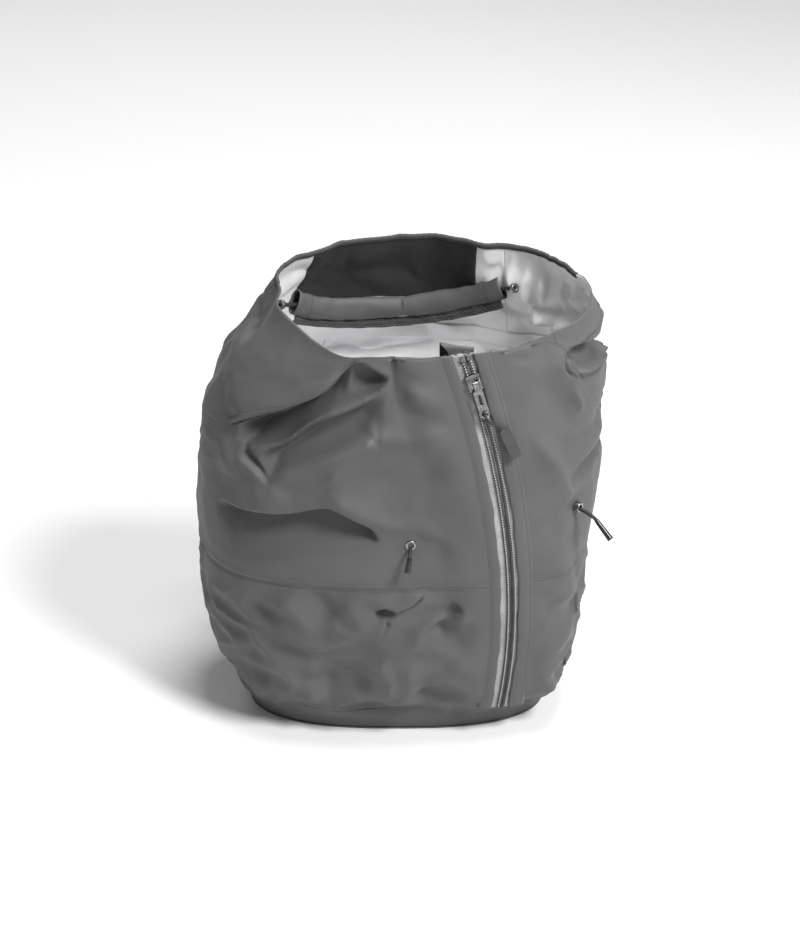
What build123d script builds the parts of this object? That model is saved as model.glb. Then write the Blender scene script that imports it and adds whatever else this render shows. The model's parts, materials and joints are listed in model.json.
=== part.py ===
"""Hooded hardshell jacket, folded and bundled upright with its hood opening at the top.

Millimetres, +Z up, the zip faces -Y.  The origin is the centre of the base fold, on the
surface it stands on.  "Left" is -X and "right" is +X, as seen from the front.
"""
from build123d import *
import os
from math import copysign, cos, degrees, pi, sin

os.makedirs("parts", exist_ok=True)

# ---------------------------------------------------------------- driving dimensions
# Outline of the bundle: height, x_left, x_right, y_front, y_back, squareness (2 = ellipse)
OUTLINE = [
    (0, -104, 100, -60, 46, 2.6),
    (22, -120, 113, -74, 56, 2.5),
    (60, -131, 122, -87, 61, 2.5),
    (110, -136, 128, -94, 64, 2.5),
    (160, -135, 130, -98, 64, 2.5),
    (200, -134, 132, -99, 61, 2.4),
    (230, -135, 135, -99, 57, 2.3),
    (258, -124, 132, -98, 52, 2.2),
    (285, -110, 128, -97, 44, 2.1),
    (310, -92, 123, -96, 36, 2.0),
    (345, -80, 119, -95, 22, 2.0),
]
OUTLINE_POINTS = 20
WALL = 4.0                      # laminate with its folds and lining
LAYER_GAP = 0.3                 # between layers that only lie against each other
RIM_FRONT = Vector(0, -92, 304)  # lowest point of the hood opening's rim
RIM_BACK = Vector(0, 25, 336)   # highest point of the rim
SIDE_SEAM_Y = -35.0
CHEST_SEAM_Z = 135.0
HOOD_BASE_Z = 205.0             # neck seam on the back
BASE_TOP = 22.0                 # height of the folded base
CORE_TOP = 186.0                # packed fabric fills the bundle up to here
HOOD_CENTRE = (-38.0, 72.0)     # x of the hood centre panel's two seams
NECK_FOLD_LEFT = (-15.0, 304.0, 0.55)   # x, z and slope of the neck fold, left front
NECK_FOLD_RIGHT = (110.0, 300.0, -2.0)  # the same, right front

# Centre front zip: the circle through three points of the chain
ZIP_TOP = Vector(39.5, -91.5, 306)
ZIP_MIDDLE = Vector(66, -94.5, 201)
ZIP_LOW = Vector(74, -84.5, 92)
ZIP_FACES = Vector(0.24, -0.97, 0)
ZIP_UP = 107.0                  # length of chain above the middle point
ZIP_DOWN = 178.0                # length of chain below it, to the base fold
SLIDER_UP = 88.0                # where the slider stands, above the middle point
COIL_IN, COIL_OUT = 0.5, 2.9    # half widths of the chain
COIL_LOW, COIL_HIGH = 0.35, 2.35
TAPE_IN, TAPE_OUT, TAPE_HALF = 0.6, 15.0, 0.3
FACING_IN, FACING_OUT = 8.5, 17.0
FACING_LOW, FACING_HIGH = 0.5, 1.3
CHANNEL_HALF, CHANNEL_DEPTH, CHANNEL_HEIGHT = 17.3, 14.0, 20.0

# Slider, puller and pull tab
SLIDER_LENGTH, SLIDER_HALF = 11.0, 4.3
PLATE = 1.0
PIN_HEIGHT, PIN_R = 5.8, 0.8
PULLER_WIDTH, PULLER_LENGTH, PULLER_THICK = 6.4, 24.0, 1.6
PULLER_HOLE_R, PULLER_HOLE_Z = 2.0, 20.4
LOOP_CORD_R, LOOP_TURN_R = 0.75, 2.05
TAB_WIDTH, TAB_LENGTH, TAB_THICK = 7.2, 22.0, 3.0
TAB_OFFSET, TAB_TOP, TAB_LEAN = 8.5, 35.5, 7.0

# Hood interior
BRIM_X = (-57.0, 51.0)
BRIM_BOTTOM = 292.0
BRIM_LINING = 1.0
BINDING_HEIGHT = 3.0
TUNNEL_LEFT, TUNNEL_MIDDLE, TUNNEL_RIGHT = (-70, 0, 297), (0, 30.5, 281), (68, 18, 300)
TUNNEL_HIGH, TUNNEL_DEEP = 7.0, 3.8
HALO_CORD_R = 1.3
SEAM_TAPE = (246.0, 260.0)

# Face-cord pulls on the chest
CORD_R = 1.25
EYELET_R, EYELET_HOLE_R = 3.5, 1.75
LEFT_EYELET, LEFT_EYELET_FACES = Vector(7, -98.3, 170), Vector(0.03, -1, 0)
RIGHT_EYELET, RIGHT_EYELET_FACES = Vector(118.5, -66, 180), Vector(0.80, -0.60, 0)
CORD_TAIL = 24.0                # length of cord kept inside each eyelet
CORD_END_R, CORD_END_LENGTH = 2.1, 13.0

# Folded layers on the back
SLEEVE_Y, SLEEVE_THICK, SLEEVE_WIDTH = 71.0, 9.0, 92.0
SLEEVE_X = (-52.0, 52.0)
SLEEVE_Z = (14.5, 196.0)
CUFF_WIDTH, CUFF_TOP, CUFF_THICK = 66.0, 262.0, 11.0
CUFF_Y = 68.0
TAB2_LENGTH, TAB2_HEIGHT, TAB2_THICK = 46.0, 22.0, 1.8
LOWER_X = (-108.0, 112.0)
LOWER_Y = (76.0, 86.0)
LOWER_Z = (14.3, 203.0)
HEM_TOP = 222.0
HEM_Y = (75.0, 87.0)
BACK_ZIP_LOW, BACK_ZIP_HIGH = Vector(70, 84, 14.5), Vector(42, 84, HEM_TOP - 0.5)
HEM_LOCK_LENGTH, HEM_LOCK_WIDTH, HEM_LOCK_HEIGHT = 15.0, 9.0, 20.0
HEM_CORD_SPACING = 5.0
BUTTON_TRAVEL = 3.0
POCKET_LOW, POCKET_HIGH = Vector(-34, 84.4, 40), Vector(-52, 84.4, 182)
POCKET_SCALE = 0.72             # pocket zip against the front zip


# ---------------------------------------------------------------- outline and walls
def outline_face(row, inset):
    """One level section of the bundle, a superellipse pulled in by inset."""
    z, x_left, x_right, y_front, y_back, squareness = row
    half_x = (x_right - x_left) / 2 - inset
    half_y = (y_back - y_front) / 2 - inset
    points = []
    for step in range(OUTLINE_POINTS):
        turn = 2 * pi * (step + 0.5) / OUTLINE_POINTS
        along_x = copysign(abs(cos(turn)) ** (2 / squareness), cos(turn))
        along_y = copysign(abs(sin(turn)) ** (2 / squareness), sin(turn))
        points.append(((x_left + x_right) / 2 + half_x * along_x,
                       (y_front + y_back) / 2 + half_y * along_y, z))
    return make_face(Spline(*points, periodic=True))


def bundle(inset):
    """The bundle as one solid, pulled in by inset."""
    return loft([outline_face(row, inset) for row in OUTLINE])


def block(x, y, z):
    """A box between two x, two y and two z values."""
    size = (x[1] - x[0], y[1] - y[0], z[1] - z[0])
    return Pos((x[0] + x[1]) / 2, (y[0] + y[1]) / 2, (z[0] + z[1]) / 2) * Box(*size)


WIDE = (-300.0, 300.0)          # wider and deeper than the bundle
TALL = (-50.0, 500.0)           # from below its base to above its rim
rim_slope = (RIM_BACK - RIM_FRONT).normalized()
rim_plane = Plane(origin=RIM_FRONT, x_dir=(1, 0, 0), z_dir=Vector(1, 0, 0).cross(rim_slope))


def below_rim(solid, drop=0.0):
    return split(solid, bisect_by=rim_plane.offset(-drop), keep=Keep.BOTTOM)


# ---------------------------------------------------------------- zip frame and its strips
zip_arc = ThreePointArc(ZIP_TOP, ZIP_MIDDLE, ZIP_LOW)
zip_radius = zip_arc.radius
zip_axis = Axis(zip_arc.arc_center, zip_arc.normal())
zip_down = zip_arc.normal().cross(ZIP_MIDDLE - zip_arc.arc_center).normalized()
zip_out = (ZIP_FACES - zip_down * ZIP_FACES.dot(zip_down)).normalized()
zip_right = zip_out.cross(zip_down)
zip_plane = Plane(origin=ZIP_MIDDLE, x_dir=zip_right, z_dir=zip_down)


def zip_turn(length_up):
    """Angle about the zip's far axis of a point this far up the chain."""
    return -degrees(length_up / zip_radius)


def on_front_zip(solid, length_up):
    """Carry a solid from the zip's local frame to its place along the front chain."""
    return (zip_plane.location * solid).rotate(zip_axis, zip_turn(length_up))


def front_strip(x, y, up=ZIP_UP, down=ZIP_DOWN):
    """A strip along the front chain, x across and y out from the tape."""
    section = Pos((x[0] + x[1]) / 2, (y[0] + y[1]) / 2) * Rectangle(x[1] - x[0], y[1] - y[0])
    start = on_front_zip(section, up)
    return revolve(start, zip_axis, revolution_arc=zip_turn(-down) - zip_turn(up))


def straight_frame(low, high, faces):
    """Frame of a straight zip: x across, y out, z down, origin at its upper end."""
    down = (low - high).normalized()
    out = (faces - down * faces.dot(down)).normalized()
    return Plane(origin=high, x_dir=out.cross(down), z_dir=down)


back_zip_plane = straight_frame(BACK_ZIP_LOW, BACK_ZIP_HIGH, Vector(0, 1, 0))
back_zip_length = (BACK_ZIP_HIGH - BACK_ZIP_LOW).length
pocket_plane = straight_frame(POCKET_LOW, POCKET_HIGH, Vector(0, 1, 0))
pocket_length = (POCKET_HIGH - POCKET_LOW).length


def sides(inner, outer, sign):
    """Half-width range on one side of a chain."""
    return (inner, outer) if sign > 0 else (-outer, -inner)


# ---------------------------------------------------------------- shell panels
outer = below_rim(bundle(0))
inner = bundle(WALL)
channel = front_strip((-CHANNEL_HALF, CHANNEL_HALF), (-CHANNEL_DEPTH, CHANNEL_HEIGHT),
                      up=ZIP_UP + 20, down=ZIP_DOWN + 30)
eyelet_places = [(LEFT_EYELET, LEFT_EYELET_FACES.normalized()),
                 (RIGHT_EYELET, RIGHT_EYELET_FACES.normalized())]


def along(place, faces, start, end, radius):
    """A round bar from start to end along a direction through a place."""
    middle = place + faces * ((start + end) / 2)
    return Plane(origin=middle, z_dir=faces).location * Cylinder(radius, end - start)


eyelet_holes = [along(place, faces, -8, 8, EYELET_R + 0.2) for place, faces in eyelet_places]
tail_holes = [along(place, faces, -CORD_TAIL - 4, 0, CORD_R + 1) for place, faces in eyelet_places]

skin = outer - inner - channel
for hole in eyelet_holes:
    skin -= hole

binding_zone = block(WIDE, (-20, 200), TALL) - below_rim(block(WIDE, WIDE, TALL), BINDING_HEIGHT)
brim_binding = skin & binding_zone
skin -= binding_zone

left_x, left_z, left_slope = NECK_FOLD_LEFT
right_x, right_z, right_slope = NECK_FOLD_RIGHT
neck_left = Plane.XZ * make_face(Polyline((left_x - 200, left_z - 200 * left_slope), (left_x, left_z),
                                          (left_x, 400), (left_x - 200, 400), close=True))
neck_right = Plane.XZ * make_face(Polyline((right_x, right_z), (right_x + 60, right_z + 60 * right_slope),
                                           (right_x + 60, 400), (right_x, 400), close=True))
hood_zone = (extrude(neck_left, 200, both=True) + extrude(neck_right, 200, both=True)
             + block(WIDE, (SIDE_SEAM_Y, 200), (HOOD_BASE_Z, 400)))
above_chest_seam = block(WIDE, WIDE, (CHEST_SEAM_Z, 400))
front_zone = block(WIDE, (-200, SIDE_SEAM_Y), (BASE_TOP, 400))
back_zone = block(WIDE, (SIDE_SEAM_Y, 200), (BASE_TOP, HOOD_BASE_Z))

hood = skin & hood_zone & block(WIDE, WIDE, (HOOD_BASE_Z, 400))
hood_side_left = hood & block((-300, HOOD_CENTRE[0]), WIDE, TALL)
hood_centre_panel = hood & block(HOOD_CENTRE, (-30, 200), TALL)
hood_side_right = hood & block((HOOD_CENTRE[1], 300), WIDE, TALL)
chest = (skin & front_zone & above_chest_seam) - hood_zone
chest += hood & block(HOOD_CENTRE, (-200, -30), TALL)
lower_front = skin & front_zone - above_chest_seam
back_panel = skin & back_zone


def keep_large(solids, count):
    """The largest solids, from left to right."""
    largest = ShapeList(solids.solids().sort_by(SortBy.VOLUME)[-count:])
    return largest.sort_by(Axis.X)


chest_panel_left, chest_panel_right = keep_large(chest, 2)
lower_front_left, lower_front_right = keep_large(lower_front, 2)

base_foot = Pos(0, 45, BASE_TOP / 4 + 1) * extrude(RectangleRounded(212, 82, 30), BASE_TOP / 4, both=True)
base_block = outer & block(WIDE, WIDE, (0, BASE_TOP))
base_fold = base_block + (base_foot & block(WIDE, WIDE, (0, BASE_TOP / 2 + 3)))

core = bundle(WALL + LAYER_GAP) & block(WIDE, WIDE, (BASE_TOP + LAYER_GAP, CORE_TOP))
core -= channel
for hole in eyelet_holes + tail_holes:
    core -= hole

# ---------------------------------------------------------------- front and back zip
STRIPS = {
    "zip_tape": (TAPE_IN, TAPE_OUT, -TAPE_HALF, TAPE_HALF),
    "zip_coil": (COIL_IN, COIL_OUT, COIL_LOW, COIL_HIGH),
    "zip_facing": (FACING_IN, FACING_OUT, FACING_LOW, FACING_HIGH),
}
zip_box = back_zip_plane.location * block((0.4, 5.2), (-1.2, 3.2), (-0.5, 9.0))
zip_pin = back_zip_plane.location * block((-4.2, -0.4), (-0.9, 2.8), (-0.5, 12.0))


def zip_strip(kind, sign):
    """One side's strip of the front zip, and the same strip where the zip climbs the back."""
    inner_half, outer_half, low, high = STRIPS[kind]
    across = sides(inner_half, outer_half, sign)
    front = front_strip(across, (low, high))
    if kind == "zip_facing":
        return front
    back = back_zip_plane.location * block(across, (low, high), (0, back_zip_length)) - zip_pin - zip_box
    return Compound(children=[*front.solids(), *back.solids()])


def top_stops():
    """Two small clamps over the ends of the coils."""
    stops = []
    for sign in (-1, 1):
        stop = block(sides(COIL_IN, COIL_OUT + 0.4, sign), (COIL_HIGH + 0.1, COIL_HIGH + 1.0), (-1.5, 1.5))
        stops.append(on_front_zip(stop, ZIP_UP - 2).solid())
    return Compound(children=stops)


def slider_solid():
    """Slider in the zip's local frame: two plates, two flanges, a post and a bridge."""
    length = SLIDER_LENGTH / 2
    half = SLIDER_HALF
    plate_low = COIL_HIGH + 0.35
    body = block((-half, half), (plate_low, plate_low + PLATE), (-length, length))
    body += block((-half, half), (-TAPE_HALF - 0.3 - PLATE, -TAPE_HALF - 0.3), (-length, length))
    body += block((-0.4, 0.4), (-TAPE_HALF - 0.3, plate_low), (-length, -length + 2.5))
    for sign in (-1, 1):
        body += block(sides(COIL_OUT + 0.4, half, sign), (TAPE_HALF + 0.3, plate_low), (-length, length))
        body += block(sides(2.2, 3.2, sign), (plate_low + PLATE, PIN_HEIGHT + 1.2), (-2.2, 2.2))
    pin = Rot(0, 90, 0) * Cylinder(PIN_R, 4.6)
    return body + Pos(0, PIN_HEIGHT, 0) * pin


def puller_plate():
    """Flat puller with an eye for the bridge pin and a round hole near its lower end."""
    outline = Pos(0, PULLER_LENGTH / 2 + 1.5) * RectangleRounded(PULLER_WIDTH, PULLER_LENGTH - 3, 3.0)
    neck = Pos(0, 4) * Rectangle(3.6, 8)
    plate = extrude(outline + neck, PULLER_THICK / 2, both=True)
    plate -= Pos(0, PULLER_HOLE_Z) * Cylinder(PULLER_HOLE_R, 10)
    plate -= Pos(0, 11) * extrude(RectangleRounded(2.0, 7.0, 0.95), 5, both=True)
    eye = Rot(0, 90, 0) * (Cylinder(1.8, 3.6) - Cylinder(PIN_R + 0.15, 10))
    plate -= Rot(0, 90, 0) * Cylinder(PIN_R + 0.15, 10)
    flat = plate - block((-5, 5), (-3, 4.4), (-5, 5)) + (plate & block((-1.8, 1.8), (-3, 4.4), (-5, 5))) + eye
    return flat - Rot(0, 90, 0) * Cylinder(PIN_R + 0.15, 10)


def hung_on_pin(plate, size=1.0):
    """A puller plate turned to hang from the bridge pin, at a share of its full size."""
    return Pos(0, PIN_HEIGHT * size, 0) * Rot(90, 0, 0) * scale(plate, size)


TAB_Y = PIN_HEIGHT - 1.2


def tab_solid():
    """Moulded pull tab, in the zip's local frame."""
    outline = Pos(0, TAB_LENGTH / 2) * RectangleRounded(TAB_WIDTH, TAB_LENGTH, 2.4)
    slab = extrude(outline, TAB_THICK / 2, both=True)
    return Pos(TAB_OFFSET, TAB_Y, TAB_TOP) * Rot(0, TAB_LEAN, 0) * Rot(90, 0, 0) * slab


def loop_solid():
    """Cord from the tab's top, through the puller's hole and back to the tab's top."""
    front_y, back_y = PIN_HEIGHT + LOOP_TURN_R, PIN_HEIGHT - LOOP_TURN_R
    turn_z = (PULLER_HOLE_Z + PULLER_HOLE_R + PULLER_LENGTH) / 2
    tab_end_z = TAB_TOP + 0.6
    front = [(TAB_OFFSET, TAB_Y + 0.8, tab_end_z), (TAB_OFFSET - 3.0, front_y - 0.4, TAB_TOP - 4.5),
             (0.8, front_y, turn_z + 4), (0.0, front_y, turn_z)]
    back = [(0.0, back_y, turn_z), (0.8, back_y, turn_z + 4),
            (TAB_OFFSET - 3.0, back_y - 0.2, TAB_TOP - 4.5), (TAB_OFFSET, TAB_Y - 0.8, tab_end_z)]
    edges = [Line(one, other) for one, other in zip(front, front[1:])]
    edges.append(ThreePointArc(front[-1], (0.0, PIN_HEIGHT, turn_z - LOOP_TURN_R), back[0]))
    edges += [Line(one, other) for one, other in zip(back, back[1:])]
    cord = Pos(*front[1]) * Sphere(LOOP_CORD_R)
    for edge in edges:
        cord += sweep(Plane(origin=edge @ 0, z_dir=edge % 0) * Circle(LOOP_CORD_R), path=edge)
    for corner in front[2:] + back[:3]:
        cord += Pos(*corner) * Sphere(LOOP_CORD_R)
    return cord


zip_slider = on_front_zip(slider_solid(), SLIDER_UP)
zip_puller = on_front_zip(hung_on_pin(puller_plate()), SLIDER_UP)
pull_tab = on_front_zip(tab_solid(), SLIDER_UP)
pull_cord_loop = on_front_zip(loop_solid() - tab_solid(), SLIDER_UP)

zip_garage = Pos(29, -88.5, 308.6) * Rot(8, -6, 0) * extrude(RectangleRounded(15, 7, 2.4), 2.6, both=True)

# ---------------------------------------------------------------- hood interior
brim_zone = block(BRIM_X, (0, 200), (BRIM_BOTTOM, 400))
brim_lining = below_rim((bundle(WALL + LAYER_GAP) - bundle(WALL + LAYER_GAP + BRIM_LINING)) & brim_zone, 0.5)
seam_tape_zone = block(WIDE, (-10, 200), SEAM_TAPE)
hood_seam_tape = (bundle(WALL + LAYER_GAP) - bundle(WALL + LAYER_GAP + 0.8)) & seam_tape_zone
tunnel_path = ThreePointArc(TUNNEL_LEFT, TUNNEL_MIDDLE, TUNNEL_RIGHT)


def along_tunnel(section, drop=0.0):
    """Sweep a section along the tunnel: local x across the wall, local y up."""
    path = tunnel_path.moved(Pos(0, 0, -drop))
    start = Plane(origin=path @ 0, x_dir=(path % 0).cross(Vector(0, 0, 1)), z_dir=path % 0)
    return sweep(start * section, path=path)


halo_tunnel = along_tunnel(Ellipse(TUNNEL_DEEP, TUNNEL_HIGH)) - along_tunnel(Circle(HALO_CORD_R + 0.2))
halo_tunnel_base = along_tunnel(Rectangle(1.4, 6.0), drop=TUNNEL_HIGH + 4.2)
halo_ends = [(tunnel_path @ 0) + (tunnel_path % 0) * -12 + Vector(0, -3, -1),
             (tunnel_path @ 1) + (tunnel_path % 1) * 10 + Vector(0, -3, -1)]
halo_cord = along_tunnel(Circle(HALO_CORD_R))
for end, tip in ((tunnel_path @ 0, halo_ends[0]), (tunnel_path @ 1, halo_ends[1])):
    halo_cord += Pos(*end) * Sphere(HALO_CORD_R)
    halo_cord += along(end, (tip - end).normalized(), 0, (tip - end).length, HALO_CORD_R)


def eyelet(place, faces, outer_r, hole_r, depth, proud):
    """A ring whose outer face stands proud of a place."""
    ring = Pos(0, 0, proud - depth / 2) * (Cylinder(outer_r, depth) - Cylinder(hole_r, depth * 2))
    return (Plane(origin=place, z_dir=faces).location * ring).solid()


halo_eyelets = Compound(children=[
    eyelet(tip, (tip - end).normalized(), 3.4, HALO_CORD_R + 0.1, 2.4, 1.2)
    for end, tip in ((tunnel_path @ 0, halo_ends[0]), (tunnel_path @ 1, halo_ends[1]))])

# ---------------------------------------------------------------- face-cord pulls
face_cord_eyelets = Compound(children=[
    eyelet(place, faces, EYELET_R, EYELET_HOLE_R, 4.4, 0.8) for place, faces in eyelet_places])


def cord_tube(route, radii):
    path = FilletPolyline(*route, radius=radii)
    return sweep(Plane(origin=path @ 0, z_dir=path % 0) * Circle(CORD_R), path=path)


def cord_route(place, faces, first, hang):
    """From inside the eyelet, out through it and over into the direction of the cord end."""
    turn_point = place + faces * first
    return [place - faces * CORD_TAIL, turn_point, turn_point + hang]


left_hang, right_hang = Vector(-0.9, -0.9, -6.5), Vector(4.6, -3.4, -5.2)
left_route = cord_route(LEFT_EYELET, eyelet_places[0][1], 4.8, left_hang)
right_route = cord_route(RIGHT_EYELET, eyelet_places[1][1], 7.5, right_hang)


def fillet_radius(route):
    """0.45 of the shorter run over the tangent of half the turn."""
    first, second = route[1] - route[0], route[2] - route[1]
    half_turn = first.get_angle(second) / 2 * pi / 180
    return 0.45 * min(first.length, second.length) * cos(half_turn) / sin(half_turn)


def cord_end(route, length):
    """Tapered moulded end, face to face with the cord."""
    direction = (route[-1] - route[-2]).normalized()
    place = route[-1] + direction * (length / 2)
    return Plane(origin=place, z_dir=-direction).location * Cone(CORD_END_R, CORD_R + 0.35, length)


face_cords, face_ends = [], []
for route, end_length in ((left_route, 10.0), (right_route, 16.0)):
    radius = fillet_radius(route)
    print("face cord bend radius", round(radius, 2))
    face_cords.append(cord_tube(route, radius))
    face_ends.append(cord_end(route, end_length))

# ---------------------------------------------------------------- sleeves, cuffs and cuff tabs
sleeves, cuffs, cuff_tabs, patches = [], [], [], []
for centre_x, sign in zip(SLEEVE_X, (-1, 1)):
    outline = RectangleRounded(SLEEVE_WIDTH, SLEEVE_THICK, SLEEVE_THICK / 2 - 0.2)
    cuff_outline = RectangleRounded(CUFF_WIDTH, CUFF_THICK, CUFF_THICK / 2 - 0.2)
    place = Pos(centre_x, SLEEVE_Y, 0)
    sleeves.append(place * Pos(0, 0, SLEEVE_Z[0]) * extrude(outline, SLEEVE_Z[1] - SLEEVE_Z[0]))
    cuff_place = Pos(centre_x, CUFF_Y, SLEEVE_Z[1])
    cuffs.append(cuff_place * extrude(cuff_outline, CUFF_TOP - SLEEVE_Z[1]))
    face_y = CUFF_Y + CUFF_THICK / 2
    patch_x = (centre_x - 26, centre_x + 26)
    patches.append(block(patch_x, (face_y + 0.05, face_y + 1.0), (229, 249)).solid())
    tab = RectangleRounded(TAB2_LENGTH, TAB2_HEIGHT, 4)
    tab_place = Pos(centre_x - sign * 2, face_y + 1.3 + TAB2_THICK / 2, 239) * Rot(90, 0, 0)
    cuff_tabs.append(tab_place * extrude(tab, TAB2_THICK / 2, both=True))

# ---------------------------------------------------------------- lower body, hem and pocket zip
lower_outline = RectangleRounded(LOWER_X[1] - LOWER_X[0], LOWER_Z[1] - LOWER_Z[0], 16)
lower_body = (Pos(sum(LOWER_X) / 2, sum(LOWER_Y) / 2, sum(LOWER_Z) / 2) * Rot(90, 0, 0)
              * extrude(lower_outline, (LOWER_Y[1] - LOWER_Y[0]) / 2, both=True))
hem = block(LOWER_X, HEM_Y, (LOWER_Z[1] + LAYER_GAP, HEM_TOP))
hem = fillet(hem.edges().filter_by(Axis.X), 3.0)
back_channel = back_zip_plane.location * block((-15.3, 15.3), (-30, 20), (-20, back_zip_length + 20))
hem -= back_channel
lower_body -= back_channel
pocket_channel = pocket_plane.location * block((-9, 9), (-2.2, 20), (-6, pocket_length + 6))
lower_body -= pocket_channel
lower_body_left, lower_body_right = keep_large(lower_body, 2)
hem_z = (LOWER_Z[1] + HEM_TOP) / 2
hem_y = (HEM_Y[0] + HEM_Y[1]) / 2
hem_bores = [Pos(0, hem_y, hem_z + dz) * Rot(0, 90, 0) * Cylinder(CORD_R + 0.15, 600)
             for dz in (-HEM_CORD_SPACING / 2, HEM_CORD_SPACING / 2)]
for bore in hem_bores:
    hem -= bore
hem_band_left, hem_band_right = keep_large(hem, 2)


def hem_lock_parts(end_x, sign):
    """Cord lock at one end of the hem: case, sprung button, spring and the cord loop."""
    x0 = end_x + sign * 0.5
    case = block(tuple(sorted((x0, x0 + sign * HEM_LOCK_LENGTH))),
                 (hem_y - HEM_LOCK_WIDTH / 2, hem_y + HEM_LOCK_WIDTH / 2),
                 (hem_z - HEM_LOCK_HEIGHT / 2, hem_z + HEM_LOCK_HEIGHT / 2))
    case = fillet(case.edges().filter_by(Axis.Z), 2.0)
    mid_x = x0 + sign * HEM_LOCK_LENGTH / 2
    well_bottom = hem_z + HEM_CORD_SPACING / 2 + CORD_R + 0.5
    case -= Pos(mid_x, hem_y, well_bottom + 5) * Cylinder(3.3, 10)
    for bore in hem_bores:
        case -= bore
    button_low = well_bottom + BUTTON_TRAVEL + 0.5
    button_high = hem_z + HEM_LOCK_HEIGHT / 2 + BUTTON_TRAVEL + 0.6
    button = Pos(mid_x, hem_y, (button_low + button_high) / 2) * Cylinder(3.0, button_high - button_low)
    spring_turns = Helix(pitch=0.9, height=button_low - well_bottom - 0.7, radius=2.0)
    spring = sweep(Plane(origin=spring_turns @ 0, z_dir=spring_turns % 0) * Circle(0.25), path=spring_turns)
    spring = Pos(mid_x, hem_y, well_bottom + 0.35) * spring
    reach = x0 + sign * (HEM_LOCK_LENGTH + 2)
    low, high = hem_z - HEM_CORD_SPACING / 2, hem_z + HEM_CORD_SPACING / 2
    hidden = x0 - sign * 45
    path = (Line((hidden, hem_y, low), (reach, hem_y, low))
            + ThreePointArc((reach, hem_y, low), (reach + sign * HEM_CORD_SPACING / 2, hem_y, hem_z),
                            (reach, hem_y, high))
            + Line((reach, hem_y, high), (hidden, hem_y, high)))
    cord = sweep(Plane(origin=(hidden, hem_y, low), z_dir=(sign, 0, 0)) * Circle(CORD_R), path=path)
    return {"hem_lock": case, "hem_lock_button": button, "hem_lock_spring": spring, "hem_cord": cord}


def pocket_slider_parts():
    """The pocket's slider and puller, smaller than the front ones, near the pocket's upper end."""
    place = pocket_plane.location * Pos(0, 0, 9)
    return (place * scale(slider_solid(), POCKET_SCALE),
            place * hung_on_pin(puller_plate(), POCKET_SCALE))


pocket_slider, pocket_puller = pocket_slider_parts()
pocket_tapes = []
pocket_coils = []
for sign in (-1, 1):
    tape = block(sides(TAPE_IN * POCKET_SCALE, 8.6, sign), (-0.2, 0.2), (-3, pocket_length + 3))
    coil = block(sides(COIL_IN * POCKET_SCALE, COIL_OUT * POCKET_SCALE, sign),
                 (COIL_LOW * POCKET_SCALE, COIL_HIGH * POCKET_SCALE), (0, pocket_length))
    pocket_tapes.append((pocket_plane.location * tape).solid())
    pocket_coils.append((pocket_plane.location * coil).solid())

# ---------------------------------------------------------------- nodes
nodes = {
    "chest_panel_left": chest_panel_left,
    "chest_panel_right": chest_panel_right,
    "lower_front_left": lower_front_left,
    "lower_front_right": lower_front_right,
    "hood_side_left": hood_side_left,
    "hood_side_right": hood_side_right,
    "hood_centre_panel": hood_centre_panel,
    "back_panel": back_panel,
    "base_fold": base_fold,
    "folded_inner_body": core,
    "lower_body_left": lower_body_left,
    "lower_body_right": lower_body_right,
    "hem_band_left": hem_band_left,
    "hem_band_right": hem_band_right,
    "brim_lining": brim_lining,
    "brim_binding": brim_binding,
    "hood_seam_tape": hood_seam_tape,
    "halo_tunnel": halo_tunnel,
    "halo_tunnel_base": halo_tunnel_base,
    "halo_cord": halo_cord,
    "halo_eyelets": halo_eyelets,
    "zip_top_stops": top_stops(),
    "zip_slider": zip_slider,
    "zip_puller": zip_puller,
    "pull_cord_loop": pull_cord_loop,
    "pull_tab": pull_tab,
    "zip_garage": zip_garage,
    "zip_box": zip_box,
    "zip_pin": zip_pin,
    "face_cord_eyelets": face_cord_eyelets,
    "cuff_loop_patches": Compound(children=patches),
    "pocket_zip_tapes": Compound(children=pocket_tapes),
    "pocket_zip_coils": Compound(children=pocket_coils),
    "pocket_slider": pocket_slider,
    "pocket_puller": pocket_puller,
}
for index, (side, sign) in enumerate((("left", -1), ("right", 1))):
    for kind in STRIPS:
        nodes[f"{kind}_{side}"] = zip_strip(kind, sign)
    nodes[f"face_cord_{side}"] = face_cords[index]
    nodes[f"face_cord_end_{side}"] = face_ends[index]
    nodes[f"sleeve_{side}"] = sleeves[index]
    nodes[f"cuff_{side}"] = cuffs[index]
    nodes[f"cuff_tab_{side}"] = cuff_tabs[index]
    for kind, solid in hem_lock_parts(LOWER_X[index], sign).items():
        nodes[f"{kind}_{side}"] = solid

for name, solid in nodes.items():
    export_step(solid, f"parts/{name}.step")
print(len(nodes), "nodes")
print("zip axis", zip_arc.arc_center, zip_arc.normal(), "radius", round(zip_radius, 1))
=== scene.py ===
"""Visual model of a folded hooded hardshell jacket, built around its CAD frame."""
import json
import math

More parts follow.
